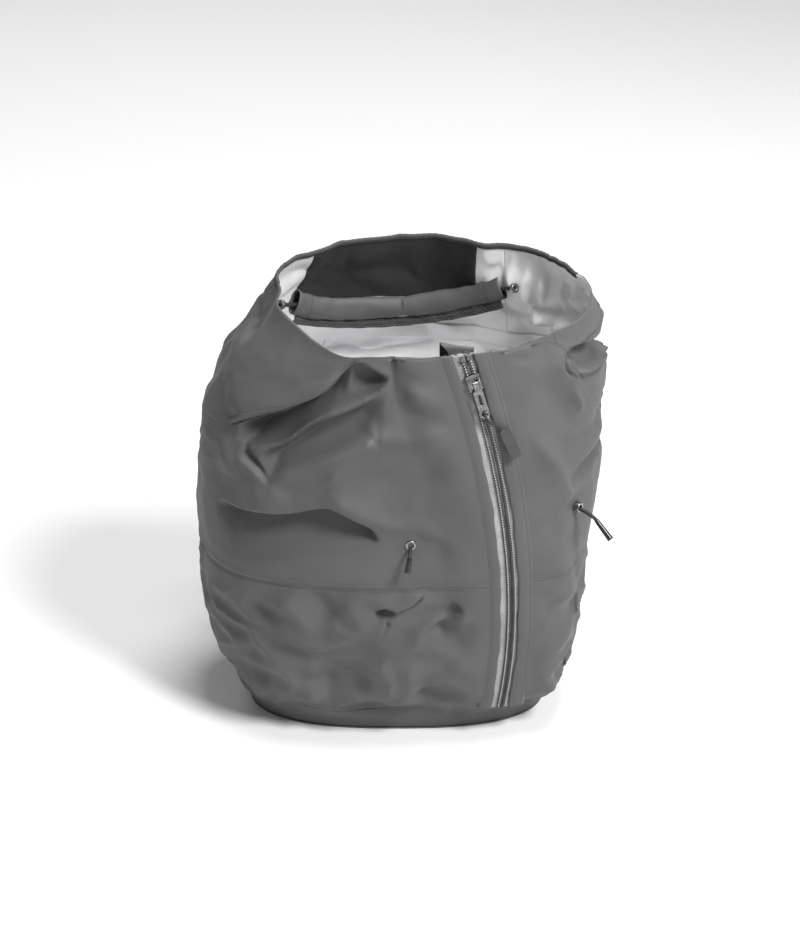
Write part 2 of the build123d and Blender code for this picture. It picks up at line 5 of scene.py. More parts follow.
import bpy
import numpy as np
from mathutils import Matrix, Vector

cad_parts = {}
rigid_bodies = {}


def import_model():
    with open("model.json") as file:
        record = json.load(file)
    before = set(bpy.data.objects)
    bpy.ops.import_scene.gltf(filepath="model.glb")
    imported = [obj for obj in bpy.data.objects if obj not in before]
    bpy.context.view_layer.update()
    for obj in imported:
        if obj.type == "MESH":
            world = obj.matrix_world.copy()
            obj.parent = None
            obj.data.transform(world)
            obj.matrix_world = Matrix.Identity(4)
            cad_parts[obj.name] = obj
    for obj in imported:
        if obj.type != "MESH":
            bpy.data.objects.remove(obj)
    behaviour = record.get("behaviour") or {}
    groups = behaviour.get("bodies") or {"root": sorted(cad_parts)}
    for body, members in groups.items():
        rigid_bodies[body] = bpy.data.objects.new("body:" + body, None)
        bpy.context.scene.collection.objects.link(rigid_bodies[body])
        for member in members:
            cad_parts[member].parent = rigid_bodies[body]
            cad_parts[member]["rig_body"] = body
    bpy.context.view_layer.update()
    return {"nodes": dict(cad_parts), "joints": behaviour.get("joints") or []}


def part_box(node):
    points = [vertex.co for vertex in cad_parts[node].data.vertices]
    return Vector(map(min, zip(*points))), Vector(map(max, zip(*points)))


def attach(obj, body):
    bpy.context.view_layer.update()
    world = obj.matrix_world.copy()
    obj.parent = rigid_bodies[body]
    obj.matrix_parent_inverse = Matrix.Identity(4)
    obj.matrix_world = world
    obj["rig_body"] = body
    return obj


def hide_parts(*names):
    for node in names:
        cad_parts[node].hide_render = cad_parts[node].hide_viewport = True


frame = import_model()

MM = 0.001
FULL_TURN = 2 * np.pi
SIDES = (("left", -1), ("right", 1))
rng = np.random.default_rng(7)


# ------------------------------------------------------------------ small helpers
def joint(name):
    return next(j for j in frame["joints"] if j["name"] == name)


def unit(v):
    v = np.asarray(v, float)
    return v / np.linalg.norm(v, axis=-1, keepdims=True)


def full_turn(count):
    """Angles evenly round a circle."""
    return np.linspace(0, FULL_TURN, count, endpoint=False)


def signed_power(x, power):
    return np.sign(x) * np.abs(x) ** power


def smooth_step(x, low, high):
    t = np.clip((np.asarray(x, float) - low) / (high - low), 0, 1)
    return t * t * (3 - 2 * t)


def blur(values, width, axis=0, wrap=False):
    """Gaussian blur of a grid along one axis, width in samples."""
    reach = max(1, int(3 * width))
    kernel = np.exp(-0.5 * (np.arange(-reach, reach + 1) / width) ** 2)
    kernel /= kernel.sum()
    padded = np.concatenate([np.take(values, range(-reach, 0), axis, mode="wrap"), values,
                             np.take(values, range(reach), axis)], axis) if wrap else \
        np.pad(values, [(reach, reach) if a == axis else (0, 0) for a in range(values.ndim)], mode="edge")
    return np.apply_along_axis(lambda row: np.convolve(row, kernel, "valid"), axis, padded)


def catmull(points, per_span, closed=False):
    """Smooth line through a few given points."""
    p = np.asarray(points, float)
    ends = (p[-1], p[0], p[1]) if closed else (2 * p[0] - p[1], 2 * p[-1] - p[-2], None)
    q = np.vstack([ends[0], p, ends[1]] + ([ends[2]] if closed else []))
    t = np.linspace(0, 1, per_span, endpoint=False)[:, None]
    spans = []
    for a, b, c, d in zip(q, q[1:], q[2:], q[3:]):
        spans.append(0.5 * (2 * b + (c - a) * t + (2 * a - 5 * b + 4 * c - d) * t ** 2
                            + (3 * b - a - 3 * c + d) * t ** 3))
    line = np.vstack(spans)
    return line if closed else np.vstack([line, p[-1]])


def waves(shape, periods, strength, wrap=True):
    """Soft seeded noise on a grid: random values blurred to each (row, column) width in samples."""
    total = np.zeros(shape)
    for (rows, columns), amount in zip(periods, strength):
        grid = blur(blur(rng.standard_normal(shape), rows, 0), columns, 1, wrap)
        total += amount * grid / grid.std()
    return total


def add_mesh(name, points, faces, material, smooth=True):
    """A mesh object from points in millimetres."""
    mesh = bpy.data.meshes.new(name)
    mesh.from_pydata((np.asarray(points, float) * MM).tolist(), [], [list(map(int, f)) for f in faces])
    mesh.update()
    mesh.polygons.foreach_set("use_smooth", [smooth] * len(mesh.polygons))
    thing = bpy.data.objects.new(name, mesh)
    bpy.context.scene.collection.objects.link(thing)
    for item in material if isinstance(material, (list, tuple)) else [material]:
        mesh.materials.append(item)
    return thing


def grid_faces(rows, columns, wrap_rows=False, wrap_columns=False, keep=None):
    """Quads of a grid of rows x columns points, numbered along its rows."""
    i = np.arange(rows if wrap_rows else rows - 1)[:, None]
    j = np.arange(columns if wrap_columns else columns - 1)[None, :]
    i2, j2 = (i + 1) % rows, (j + 1) % columns
    quads = np.stack([i * columns + j, i * columns + j2, i2 * columns + j2, i2 * columns + j], -1)
    return quads.reshape(-1, 4) if keep is None else quads[keep]


def add_grid(name, grid, material, wrap_rows=False, wrap_columns=False, keep=None):
    rows, columns = grid.shape[:2]
    faces = grid_faces(rows, columns, wrap_rows, wrap_columns, keep)
    used, inverse = np.unique(faces, return_inverse=True)
    return add_mesh(name, grid.reshape(-1, 3)[used], inverse.reshape(faces.shape), material)


def thicken(thing, thickness, offset=-1.0, inner_slot=0, rim_slot=0):
    """Gives a sheet its thickness in millimetres, with its own materials inside and on its edge."""
    solid = thing.modifiers.new("thickness", "SOLIDIFY")
    solid.thickness = thickness * MM
    solid.offset = offset
    solid.material_offset = inner_slot
    solid.material_offset_rim = rim_slot
    solid.use_even_offset = False
    return thing


def place(thing, slot, *nodes, body="jacket"):
    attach(thing, body)
    if nodes:
        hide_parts(*nodes)
    return thing


# ------------------------------------------------------------------ camera
VIEW_ELEVATION = 29.0
VIEW_DISTANCE = 1.6
LENS = 87.9
middle = Vector((0.0, 0.005, 0.165))
camera_data = bpy.data.cameras.new("camera")
camera_data.lens = LENS
camera_data.sensor_fit = "AUTO"
camera = bpy.data.objects.new("camera", camera_data)
tilt = math.radians(VIEW_ELEVATION)
camera.location = middle + VIEW_DISTANCE * Vector((0, -math.cos(tilt), math.sin(tilt)))
camera.rotation_euler = (math.radians(90) - tilt, 0, 0)
bpy.context.scene.collection.objects.link(camera)
bpy.context.scene.camera = camera


# ------------------------------------------------------------------ materials
def new_material(name, colour, roughness, metallic=0.0, sheen=0.0, coat=0.0, specular=0.5):
    """A principled material whose constant values sit on the shader's own sockets."""
    material = bpy.data.materials.new(name)
    material.use_nodes = True
    shader = material.node_tree.nodes["Principled BSDF"]
    shader.inputs["Base Color"].default_value = (*colour, 1)
    shader.inputs["Roughness"].default_value = roughness
    shader.inputs["Metallic"].default_value = metallic
    shader.inputs["Sheen Weight"].default_value = sheen
    shader.inputs["Sheen Roughness"].default_value = 0.4
    shader.inputs["Coat Weight"].default_value = coat
    shader.inputs["Coat Roughness"].default_value = 0.3
    shader.inputs["Specular IOR Level"].default_value = specular
    return material, material.node_tree, shader


def node(tree, kind, **values):
    """A node with its properties and its inputs' constants set by name."""
    made = tree.nodes.new(kind)
    for key, value in values.items():
        if key in made.inputs.keys():
            made.inputs[key].default_value = value
        elif key.replace("_", " ") in made.inputs.keys():
            made.inputs[key.replace("_", " ")].default_value = value
        else:
            setattr(made, key, value)
    return made


def place_coordinates(tree, scale):
    """Object coordinates, scaled so that 1 is one repeat."""
    source = tree.nodes.new("ShaderNodeTexCoord")
    mapping = node(tree, "ShaderNodeMapping", Scale=scale)
    tree.links.new(source.outputs["Object"], mapping.inputs["Vector"])
    return mapping.outputs["Vector"]


def ramp(tree, source, stops):
    made = tree.nodes.new("ShaderNodeValToRGB")
    elements = made.color_ramp.elements
    while len(elements) < len(stops):
        elements.new(0.5)
    for element, (position, colour) in zip(elements, stops):
        element.position = position
        element.color = (*colour, 1)
    tree.links.new(source, made.inputs["Fac"])
    return made.outputs["Color"]


def bump(tree, shader, layers):
    """Chains bump nodes: (height output, strength, distance in millimetres)."""
    normal = None
    for height, strength, distance in layers:
        made = node(tree, "ShaderNodeBump", Strength=strength, Distance=distance * MM)
        tree.links.new(height, made.inputs["Height"])
        if normal:
            tree.links.new(normal, made.inputs["Normal"])
        normal = made.outputs["Normal"]
    tree.links.new(normal, shader.inputs["Normal"])


def woven(tree, pitch):
    """Plain weave of a pitch in millimetres: crossed threads, in object coordinates."""
    coordinates = place_coordinates(tree, (1 / (pitch * MM),) * 3)
    across = node(tree, "ShaderNodeTexWave", wave_type="BANDS", bands_direction="DIAGONAL", Scale=0.32,
                  Distortion=0.6, Detail=1.0)
    upright = node(tree, "ShaderNodeTexWave", wave_type="BANDS", bands_direction="Z", Scale=0.32,
                   Distortion=0.6, Detail=1.0)
    mixed = node(tree, "ShaderNodeMath", operation="MULTIPLY")
    for wave in (across, upright):
        tree.links.new(coordinates, wave.inputs["Vector"])
    tree.links.new(across.outputs["Fac"], mixed.inputs[0])
    tree.links.new(upright.outputs["Fac"], mixed.inputs[1])
    return mixed.outputs["Value"]


def noise(tree, size, detail=3.0, roughness=0.55):
    """Noise with a grain size in millimetres."""
    made = node(tree, "ShaderNodeTexNoise", Scale=1.0, Detail=detail, Roughness=roughness)
    tree.links.new(place_coordinates(tree, (1 / (size * MM),) * 3), made.inputs["Vector"])
    return made.outputs["Fac"]


def cloth_material(name, light, dark, roughness, pitch, grain=0.12, sheen=0.03, crumple=0.0, coat=0.0,
                   weave_strength=0.25):
    """Woven cloth: weave and grain in the bump, slow and fine variation in the colour."""
    material, tree, shader = new_material(name, light, roughness, sheen=sheen, coat=coat, specular=0.35)
    weave = woven(tree, pitch)
    fine = noise(tree, pitch * 1.6, 4.0, 0.7)
    slow = noise(tree, 38.0, 2.0)
    mixed = node(tree, "ShaderNodeMix", data_type="FLOAT", Factor=0.5)
    tree.links.new(fine, mixed.inputs[2])
    tree.links.new(slow, mixed.inputs[3])
    mid = tuple((a + b) / 2 for a, b in zip(light, dark))
    colour = ramp(tree, mixed.outputs[0], [(0.36, dark), (0.5, mid), (0.64, light)])
    tree.links.new(colour, shader.inputs["Base Color"])
    layers = [(weave, weave_strength, pitch * 0.5), (fine, grain, 0.25)]
    if crumple:
        layers.append((noise(tree, 9.0, 3.0, 0.5), crumple, 1.2))
    bump(tree, shader, layers)
    return material


def grey(value):
    return (value, value, value * 1.01)


shell_cloth = cloth_material("shell_fabric", grey(0.086), grey(0.068), 0.6, 0.42, grain=0.16, sheen=0.04)
laminate = cloth_material("inner_laminate", grey(0.84), grey(0.76), 0.4, 0.6, grain=0.08, sheen=0.0,
                          coat=0.12, crumple=0.12, weave_strength=0.06)


# ------------------------------------------------------------------ floor and light
def add_floor():
    size = 6000.0
    points = [(-size, -size, 0), (size, -size, 0), (size, size, 0), (-size, size, 0)]
    material, tree, shader = new_material("floor", (0.74, 0.74, 0.74), 0.9)
    tree.links.new(ramp(tree, noise(tree, 900.0), [(0.3, (0.73,) * 3), (0.7, (0.75,) * 3)]),
                   shader.inputs["Base Color"])
    floor = add_mesh("floor", points, [(0, 1, 2, 3)], material)


def add_light(name, place_at, size, power, aim=(0, 0, 0.2)):
    data = bpy.data.lights.new(name, "AREA")
    data.shape = "DISK"
    data.size = size
    data.energy = power
    lamp = bpy.data.objects.new(name, data)
    lamp.location = place_at
    lamp.rotation_euler = (Vector(aim) - Vector(place_at)).to_track_quat("-Z", "Y").to_euler()
    bpy.context.scene.collection.objects.link(lamp)


def add_studio():
    add_floor()
    world = bpy.data.worlds.new("studio")
    world.use_nodes = True
    world.node_tree.nodes["Background"].inputs["Color"].default_value = (1, 1, 1, 1)
    world.node_tree.nodes["Background"].inputs["Strength"].default_value = 0.2
    bpy.context.scene.world = world
    add_light("key", (1.0, -1.0, 1.7), 0.6, 62)
    add_light("top", (0.2, -0.1, 2.3), 0.8, 42)
    add_light("fill", (-1.7, -1.1, 0.9), 1.6, 2)
    add_light("back", (-0.7, 1.7, 1.4), 1.2, 9)
    bpy.context.scene.view_settings.view_transform = "Standard"


add_studio()

# ------------------------------------------------------------------ front zip's own coordinates
zip_joint = joint("front_zip")
ZIP_CENTRE = np.array(zip_joint["pos_m"]) / MM
ZIP_NORMAL = unit(zip_joint["axis"])
ZIP_MIDDLE = np.array([66.0, -94.5, 201.0])     # a point of the chain
ZIP_FACES = np.array([0.24, -0.97, 0.0])
ZIP_UP, ZIP_DOWN = 107.0, 178.0
SLIDER_UP = 88.0
radial = ZIP_MIDDLE - ZIP_CENTRE
radial -= ZIP_NORMAL * (radial @ ZIP_NORMAL)
ZIP_RADIUS = float(np.linalg.norm(radial))
zip_radial = unit(radial)
zip_down = unit(np.cross(ZIP_NORMAL, zip_radial))
zip_out = unit(ZIP_FACES - zip_down * (ZIP_FACES @ zip_down))
zip_right = np.cross(zip_out, zip_down)


def zip_coordinates(points):
    """(across, out, up) of points along the curved chain, in millimetres."""
    from_centre = points - ZIP_CENTRE
    axial = from_centre @ ZIP_NORMAL
    flat = from_centre - axial[..., None] * ZIP_NORMAL
    stretch = np.linalg.norm(flat, axis=-1) - ZIP_RADIUS
    angle = np.arctan2(flat @ zip_down, flat @ zip_radial)
    offset = stretch[..., None] * zip_radial + axial[..., None] * ZIP_NORMAL
    return offset @ zip_right, offset @ zip_out, -angle * ZIP_RADIUS


def zip_point(across, out, up):
    """The opposite: a point from its place along the chain."""
    across, out, up = np.broadcast_arrays(np.asarray(across, float), out, up)
    offset = across[..., None] * zip_right + out[..., None] * zip_out
    stretch, axial = offset @ zip_radial, offset @ ZIP_NORMAL
    angle = -up / ZIP_RADIUS
    direction = np.cos(angle)[..., None] * zip_radial + np.sin(angle)[..., None] * zip_down
    return ZIP_CENTRE + (ZIP_RADIUS + stretch)[..., None] * direction + axial[..., None] * ZIP_NORMAL


# ------------------------------------------------------------------ shell: undisturbed surface
# height, x_left, x_right, y_front, y_back, squareness (2 = ellipse), as the CAD outline
OUTLINE = np.array([
    (0, -104, 100, -60, 46, 2.6),
    (22, -120, 113, -74, 56, 2.5),
    (60, -131, 122, -87, 61, 2.5),
    (110, -136, 128, -94, 64, 2.5),
    (160, -135, 130, -98, 64, 2.5),
    (200, -134, 132, -99, 61, 2.4),
    (230, -135, 135, -99, 57, 2.3),
    (258, -124, 132, -98, 52, 2.2),
    (285, -110, 128, -97, 44, 2.1),
    (310, -92, 123, -96, 36, 2.0),
    (345, -80, 119, -95, 22, 2.0)], float)
# the hood opening's rim, anticlockwise from the back
RIM = [(0, 25, 336), (-36, 19, 335), (-56, 6, 333), (-72, -4, 329), (-81, -14, 324), (-82, -29, 320),
       (-79, -45, 317), (-66, -64, 312), (-51, -81, 307), (-34, -93, 304), (-12, -94, 304), (6, -91, 304),
       (25, -90, 304), (50, -89, 304), (69, -84, 306), (91, -76, 310), (111, -63, 315), (120, -46, 321),
       (116, -26, 326), (101, -7, 330), (79, 9, 333), (51, 16, 335), (26, 24, 336)]
# the crease between hood and chest: x and z on the front, from the left side to the right side
CREASE = [(-119, 241), (-93, 258), (-70, 268), (-50, 281), (-32, 299), (-17, 303), (92, 306), (100, 300),
          (106, 290), (117, 268), (127, 250)]
SIDE_CREASE_Z = 246.0
# the grid's rows at the base fold's top, the chest seam, the neck seam and the crease; the last is the rim
ROWS, COLUMNS = 230, 600
BASE_ROW, CHEST_ROW, NECK_ROW, CREASE_ROW = 16, 84, 130, 182
BASE_TOP, CHEST_SEAM_Z, NECK_Z = 22.0, 135.0, 205.0
RIM_MIDDLE = np.array([17.0, -33.0])
RIM_HALF = np.array([103.0, 59.0])
FIRST_Z = 2.0

dense_z = np.linspace(0, 345, 346)
dense_outline = np.stack([blur(np.interp(dense_z, OUTLINE[:, 0], OUTLINE[:, k]), 9) for k in range(1, 6)], -1)


def section_point(angle, z):
    """Point of the undisturbed outline at a polar angle and a height."""
    left, right, front, back, square = [np.interp(z, dense_z, dense_outline[:, k]) for k in range(5)]
    c, s = np.cos(angle), np.sin(angle)
    reach = (np.abs(c) ** square + np.abs(s) ** square) ** (-1 / square)
    return np.stack([(left + right) / 2 + (right - left) / 2 * reach * c,
                     (front + back) / 2 + (back - front) / 2 * reach * s,
                     np.broadcast_to(z, np.shape(angle))], -1)


def rim_line(angles):
    """Rim point for each polar angle about the rim's middle."""
    line = catmull(RIM, 12, closed=True)
    around = np.unwrap(np.arctan2((line[:, 1] - RIM_MIDDLE[1]) / RIM_HALF[1],
                                  (line[:, 0] - RIM_MIDDLE[0]) / RIM_HALF[0]))
    order = np.argsort(around % (FULL_TURN))
    return np.stack([np.interp(angles % (FULL_TURN), (around % (FULL_TURN))[order], line[order, k],
                               period=FULL_TURN) for k in range(3)], -1)


def crease_height(angles):
    """Height of the crease at each polar angle."""
    scan = np.linspace(-np.pi, 0, 181)
    at = [np.interp(x, section_point(scan, z)[:, 0], scan) for x, z in CREASE]
    return np.interp((angles + np.pi) % (FULL_TURN), np.r_[0, np.array(at) + np.pi, np.pi + 0.1, FULL_TURN],
                     np.r_[SIDE_CREASE_Z - 8, [z for _, z in CREASE], SIDE_CREASE_Z, SIDE_CREASE_Z - 8])


def undisturbed(angles):
    """Grid of the shell for a grid of polar angles, from its base row up to the rim."""
    rim = rim_line(angles)
    rows = np.arange(ROWS)[:, None]
    crease = np.minimum(blur(crease_height(angles), 2, 1, wrap=True), rim[..., 2] - 1.5)
    z = np.interp(rows, (0, BASE_ROW, CHEST_ROW, NECK_ROW), (FIRST_Z, BASE_TOP, CHEST_SEAM_Z, NECK_Z))
    upper = NECK_Z + (crease - NECK_Z) * (rows - NECK_ROW) / (CREASE_ROW - NECK_ROW)
    top = crease + (rim[..., 2] - crease) * (rows - CREASE_ROW) / (ROWS - 1 - CREASE_ROW)
    z = np.where(rows <= NECK_ROW, z, np.where(rows <= CREASE_ROW, upper, top))
    grid = section_point(angles, z)
    gap = rim - section_point(angles, rim[..., 2])
    return grid + gap * (smooth_step(z, 225, rim[..., 2]) ** 1.5)[..., None]


FRONT = -np.pi / 2
spread = FRONT + full_turn(COLUMNS)                      # column 0 at the front's middle
angles = np.broadcast_to(spread, (ROWS, COLUMNS)).copy()
across, _, up = zip_coordinates(undisturbed(angles))
near_front = np.cos(spread - FRONT) > 0.25
front_columns = np.flatnonzero(near_front)
front_order = front_columns[np.argsort((spread[front_columns] - FRONT + np.pi) % (FULL_TURN))]
front_angle = (spread[front_order] - FRONT + np.pi) % (FULL_TURN) - np.pi
zip_angle = np.array([np.interp(0, row[front_order], front_angle) for row in across])
zip_angle = blur(zip_angle, 4)
ZIP_COLUMN = int(round(np.mean(zip_angle) / (FULL_TURN) * COLUMNS))
column_angle = (spread - FRONT + np.pi) % (FULL_TURN) - np.pi
home = column_angle[ZIP_COLUMN]
window = np.cos(np.clip((column_angle - home) / 1.1, -1, 1) * np.pi / 2) ** 2
angles = FRONT + column_angle[None, :] + (zip_angle - home)[:, None] * window[None, :]
shell = undisturbed(angles)

# columns either side of the zip line keep an even spacing, and lie on the zip's own band
COLUMN_STEP = 1.5
BAND, BAND_BLEND = 12.0, 46.0
offset_columns = (np.arange(COLUMNS) - ZIP_COLUMN + COLUMNS // 2) % COLUMNS - COLUMNS // 2
across, out, up = zip_coordinates(shell)
even = offset_columns * COLUMN_STEP
keep_even = 1 - smooth_step(np.abs(even), 18, 84)
near_zip = np.abs(offset_columns) < 60
above_base = smooth_step(shell[..., 2], 14, 40)
band = (1 - smooth_step(np.abs(across), BAND, BAND_BLEND)) * above_base * near_zip
new_across = across + (even[None, :] - across) * (keep_even * above_base * near_zip)
FACING_OUT = 1.1
in_order = np.argsort(offset_columns)
in_order = in_order[np.abs(offset_columns[in_order]) < 110]
slid_out, slid_up = (np.array([np.interp(new_across[row], across[row, in_order], values[row, in_order])
                               for row in range(ROWS)]) for values in (out, up))
new_out = slid_out + (FACING_OUT - slid_out) * band
shell = np.where(near_zip[None, :, None], zip_point(new_across, new_out, slid_up), shell)


def surface_normals(grid):
    """Outward normals of a grid that closes on itself along its rows."""
    along = np.roll(grid, -1, 1) - np.roll(grid, 1, 1)
    upward = np.gradient(grid, axis=0)
    return unit(np.cross(along, upward))


row_steps = np.linalg.norm(np.diff(shell, axis=1, append=shell[:, :1]), axis=-1)
arc = np.cumsum(row_steps, axis=1) - row_steps
arc_front = np.where(arc > arc[:, -1:] / 2, arc - arc[:, -1:] - row_steps[:, -1:], arc)
height = shell[..., 2]


def on_front(points):
    """(arc, height) of points given as x and z on the front."""
    placed = []
    half = COLUMNS // 3
    order = np.r_[COLUMNS - half:COLUMNS, 0:half]
    for x, z in points:
        row = int(np.clip(np.searchsorted(height[:, 0], z), 0, ROWS - 1))
        placed.append((np.interp(x, shell[row, order, 0], arc_front[row, order]), z))
    return np.array(placed)


def signed_distance(line, u, z):
    """Distance from a line in (arc, height), positive on its left, and the place along it from 0 to 1."""
    best = np.full(u.shape, 1e9)
    side = np.ones(u.shape)
    along = np.zeros(u.shape)
    lengths = np.linalg.norm(np.diff(line, axis=0), axis=1)
    total = lengths.sum()
    done = 0.0
    for start, end, length in zip(line, line[1:], lengths):
        du, dz = (end - start) / length
        t = np.clip((u - start[0]) * du + (z - start[1]) * dz, 0, length)
        away_u, away_z = u - start[0] - t * du, z - start[1] - t * dz
        distance = np.hypot(away_u, away_z)
        closer = distance < best
        best = np.where(closer, distance, best)
        side = np.where(closer, np.sign(du * away_z - dz * away_u), side)
        along = np.where(closer, (done + t) / total, along)
        done += length
    return best * side, along


normal_move = np.zeros((ROWS, COLUMNS))
drop_move = np.zeros((ROWS, COLUMNS))


def taper(along, start, end):
    """1 along a fold, fading over the start and end fractions of its length."""
    return smooth_step(along, 0, max(start, 1e-3)) * (1 - smooth_step(along, 1 - max(end, 1e-3), 1))


def near_line(points, reach):
    """The rows near a line on the front, and their points' distances from it and places along it."""
    line = catmull(on_front(points), 5)
    low, high = line[:, 1].min() - reach, line[:, 1].max() + reach
    rows = np.flatnonzero((height.max(1) > low) & (height.min(1) < high))
    part = slice(rows[0], rows[-1] + 1)
    return part, *signed_distance(line, arc_front[part], height[part])


def fold(points, left, right, reach_left, reach_right, sharp=2.0, lip=0.0, ends=(0.3, 0.3)):
    """A crease with a height on each side, which fades over each side's reach; its left side sags by lip."""
    part, d, along = near_line(points, 3.2 * max(reach_left, reach_right))
    fade = taper(along, *ends)
    step = np.tanh(d / sharp)
    on_left = left * step * np.exp(-np.maximum(d, 0) / reach_left)
    on_right = -right * step * np.exp(-np.maximum(-d, 0) / reach_right)
    normal_move[part] += fade * np.where(d > 0, on_left, on_right)
    sag = np.exp(-(np.maximum(d, 0) / (reach_left * 0.6)) ** 2) * smooth_step(d, -2.5 * sharp, 0.5 * sharp)
    drop_move[part] += fade * lip * sag


def ridge(points, height_mm, width, cusp=0.35, ends=(0.35, 0.35)):
    """A raised (or, if negative, pressed) line; cusp from 0, round, to 1, sharp."""
    part, d, along = near_line(points, 3.5 * width)
    round_part = np.exp(-(d / width) ** 2)
    sharp_part = np.exp(-np.sqrt(d ** 2 + 1.0) / (width * 0.7))
    normal_move[part] += height_mm * taper(along, *ends) * ((1 - cusp) * round_part + cusp * sharp_part)


# ------------------------------------------------------------------ shell: folds
def hollow(upper, lower, depth, wall=0.12, ends=(8.0, 8.0), power=1.0):
    """A recess under an overhanging edge that rises again to a crest: both lines run left to right."""
    upper, lower = catmull(on_front(upper), 6), catmull(on_front(lower), 6)
    top = np.interp(arc_front, upper[:, 0], upper[:, 1])
    low = np.interp(arc_front, lower[:, 0], lower[:, 1])
    first, last = max(upper[0, 0], lower[0, 0]), min(upper[-1, 0], lower[-1, 0])
    share = (top - height) / np.maximum(top - low, 2.0)
    within = smooth_step(arc_front, first - ends[0], first + ends[0]) * (
        1 - smooth_step(arc_front, last - ends[1], last + ends[1]))
    under_edge = smooth_step((top - height) / np.maximum(wall * (top - low), 4.0), -0.1, 1)
    shape = under_edge * np.clip(1 - share, 0, 1) ** power
    normal_move[:] -= depth * within * shape * np.clip((top - low) / 10.0, 0, 1)


NECK_EDGE = [(-119, 243), (-102, 252), (-71, 269), (-47, 283), (-34, 298), (-26, 301), (-19, 297), (-6, 289)]
NECK_CREST = [(-103, 234), (-93, 234), (-75, 242), (-57, 258), (-33, 269), (-17, 278), (-6, 288)]
CHEST_CREST = [(-84, 211), (-72, 220), (-55, 227), (-41, 235), (-26, 242), (-16, 250)]
# neck: the hood's side hangs over a deep recess, with two crests under it
fold(CREASE[:6], 6.5, 3.5, 30, 10, sharp=1.4, lip=2.0, ends=(0.16, 0.24))
hollow(NECK_EDGE, NECK_CREST, 19.0, wall=0.16, ends=(7, 6), power=0.6)
ridge(NECK_CREST, 3.6, 5.0, cusp=0.75, ends=(0.15, 0.2))
hollow(NECK_CREST, CHEST_CREST, 13.0, wall=0.35, ends=(6, 8), power=0.75)
ridge([(-84, 211), (-55, 227), (-26, 242), (-16, 250), (-28, 261)], 3.4, 5.0, cusp=0.75, ends=(0.15, 0.12))
hollow([(-101, 237), (-92, 227), (-85, 216)], [(-107, 227), (-94, 219), (-84, 209)], 6.0, wall=0.4,
       ends=(4, 3))
ridge([(-107, 227), (-101, 222), (-94, 217), (-84, 210)], 3.0, 4.0, cusp=0.7)
ridge([(-118, 238), (-114, 226), (-103, 206)], 3.0, 9.0, cusp=0.2)
ridge([(-30, 300), (-31, 288), (-36, 274)], 4.0, 4.0, cusp=0.6, ends=(0.1, 0.4))
ridge([(-29, 302), (-19, 297), (-6, 289)], 2.5, 3.0, cusp=0.6, ends=(0.3, 0.3))
ridge([(-84, 313), (-92, 305), (-99, 292)], -2.6, 5.0, cusp=0.5)
# chest: long crests that run from the recess towards the zip and the cord pull
ridge([(-16, 249), (-34, 234), (-50, 213)], 3.4, 7.0, cusp=0.55, ends=(0.1, 0.3))
ridge([(-50, 213), (-27, 197), (6, 181), (46, 177)], 3.6, 9.0, cusp=0.5, ends=(0.15, 0.3))
ridge([(-36, 222), (-12, 216), (20, 222), (44, 232)], -3.0, 12.0, cusp=0.15)
ridge([(2, 284), (23, 277), (40, 272)], 2.6, 8.0, cusp=0.35, ends=(0.3, 0.3))
ridge([(-4, 272), (14, 264), (38, 262)], -2.4, 7.0, cusp=0.3)
ridge([(-16, 250), (9, 248), (40, 258)], 2.6, 8.0, cusp=0.4, ends=(0.1, 0.3))
ridge([(-2, 300), (4, 292), (20, 288)], -1.8, 5.0, cusp=0.4)
ridge([(-70, 208), (-84, 202), (-98, 196)], 2.6, 10.0, cusp=0.2)
# a sharp fold over the shaded lower chest
DEEP_EDGE = [(-116, 187), (-93, 189), (-71, 192), (-47, 199), (-34, 194), (-20, 185), (-13, 174)]
hollow(DEEP_EDGE, [(-116, 146), (-92, 149), (-64, 158), (-34, 165), (-14, 172)], 12.0, wall=0.12, ends=(6, 5))
fold(DEEP_EDGE, 3.0, 0.5, 18, 8, sharp=1.2, lip=1.5, ends=(0.2, 0.2))
ridge([(-6, 168), (10, 160), (40, 164)], -2.0, 9.0, cusp=0.2)
# below the chest seam: crumpled where the jacket is pushed down
fold([(18, 134), (13, 127), (7, 121), (-3, 117), (-10, 119), (-14, 114)], 3.0, 4.0, 9, 8, sharp=1.2,
     ends=(0.2, 0.2))
hollow([(-16, 119), (-9, 121), (-1, 117)], [(-15, 108), (-9, 110), (-3, 111)], 9.0, wall=0.3, ends=(2, 2))
fold([(-7, 115), (-9, 103), (-14, 92)], 3.0, 3.4, 8, 7, sharp=1.2, ends=(0.2, 0.4))
ridge([(40, 121), (34, 114), (27, 102), (25, 92)], -5.0, 5.0, cusp=0.5, ends=(0.1, 0.3))
ridge([(44, 124), (42, 106), (40, 90)], 2.4, 4.0, cusp=0.4)
ridge([(-61, 136), (-50, 118), (-39, 105)], -4.0, 9.0, cusp=0.25)
ridge([(-40, 132), (-28, 112), (-26, 94)], 3.6, 9.0, cusp=0.4)
ridge([(-84, 128), (-66, 108), (-58, 88)], 3.0, 9.0, cusp=0.4)
ridge([(-100, 126), (-88, 104), (-84, 80)], -3.0, 8.0, cusp=0.3)
ridge([(84, 124), (98, 108), (104, 88)], -3.4, 7.0, cusp=0.4)
ridge([(90, 130), (106, 120), (116, 104)], 3.0, 7.0, cusp=0.4)
for start, lean in ((-96, 9), (-62, 4), (-30, 10), (4, 3), (86, -6), (104, -9)):
    ridge([(start, 26), (start + lean, 52), (start + 0.4 * lean, 80)], 3.0, 8.0, cusp=0.4, ends=(0.2, 0.4))
    ridge([(start + 15, 24), (start + 15 - lean, 46), (start + 14, 66)], -2.6, 7.0, cusp=0.3, ends=(0.2, 0.4))
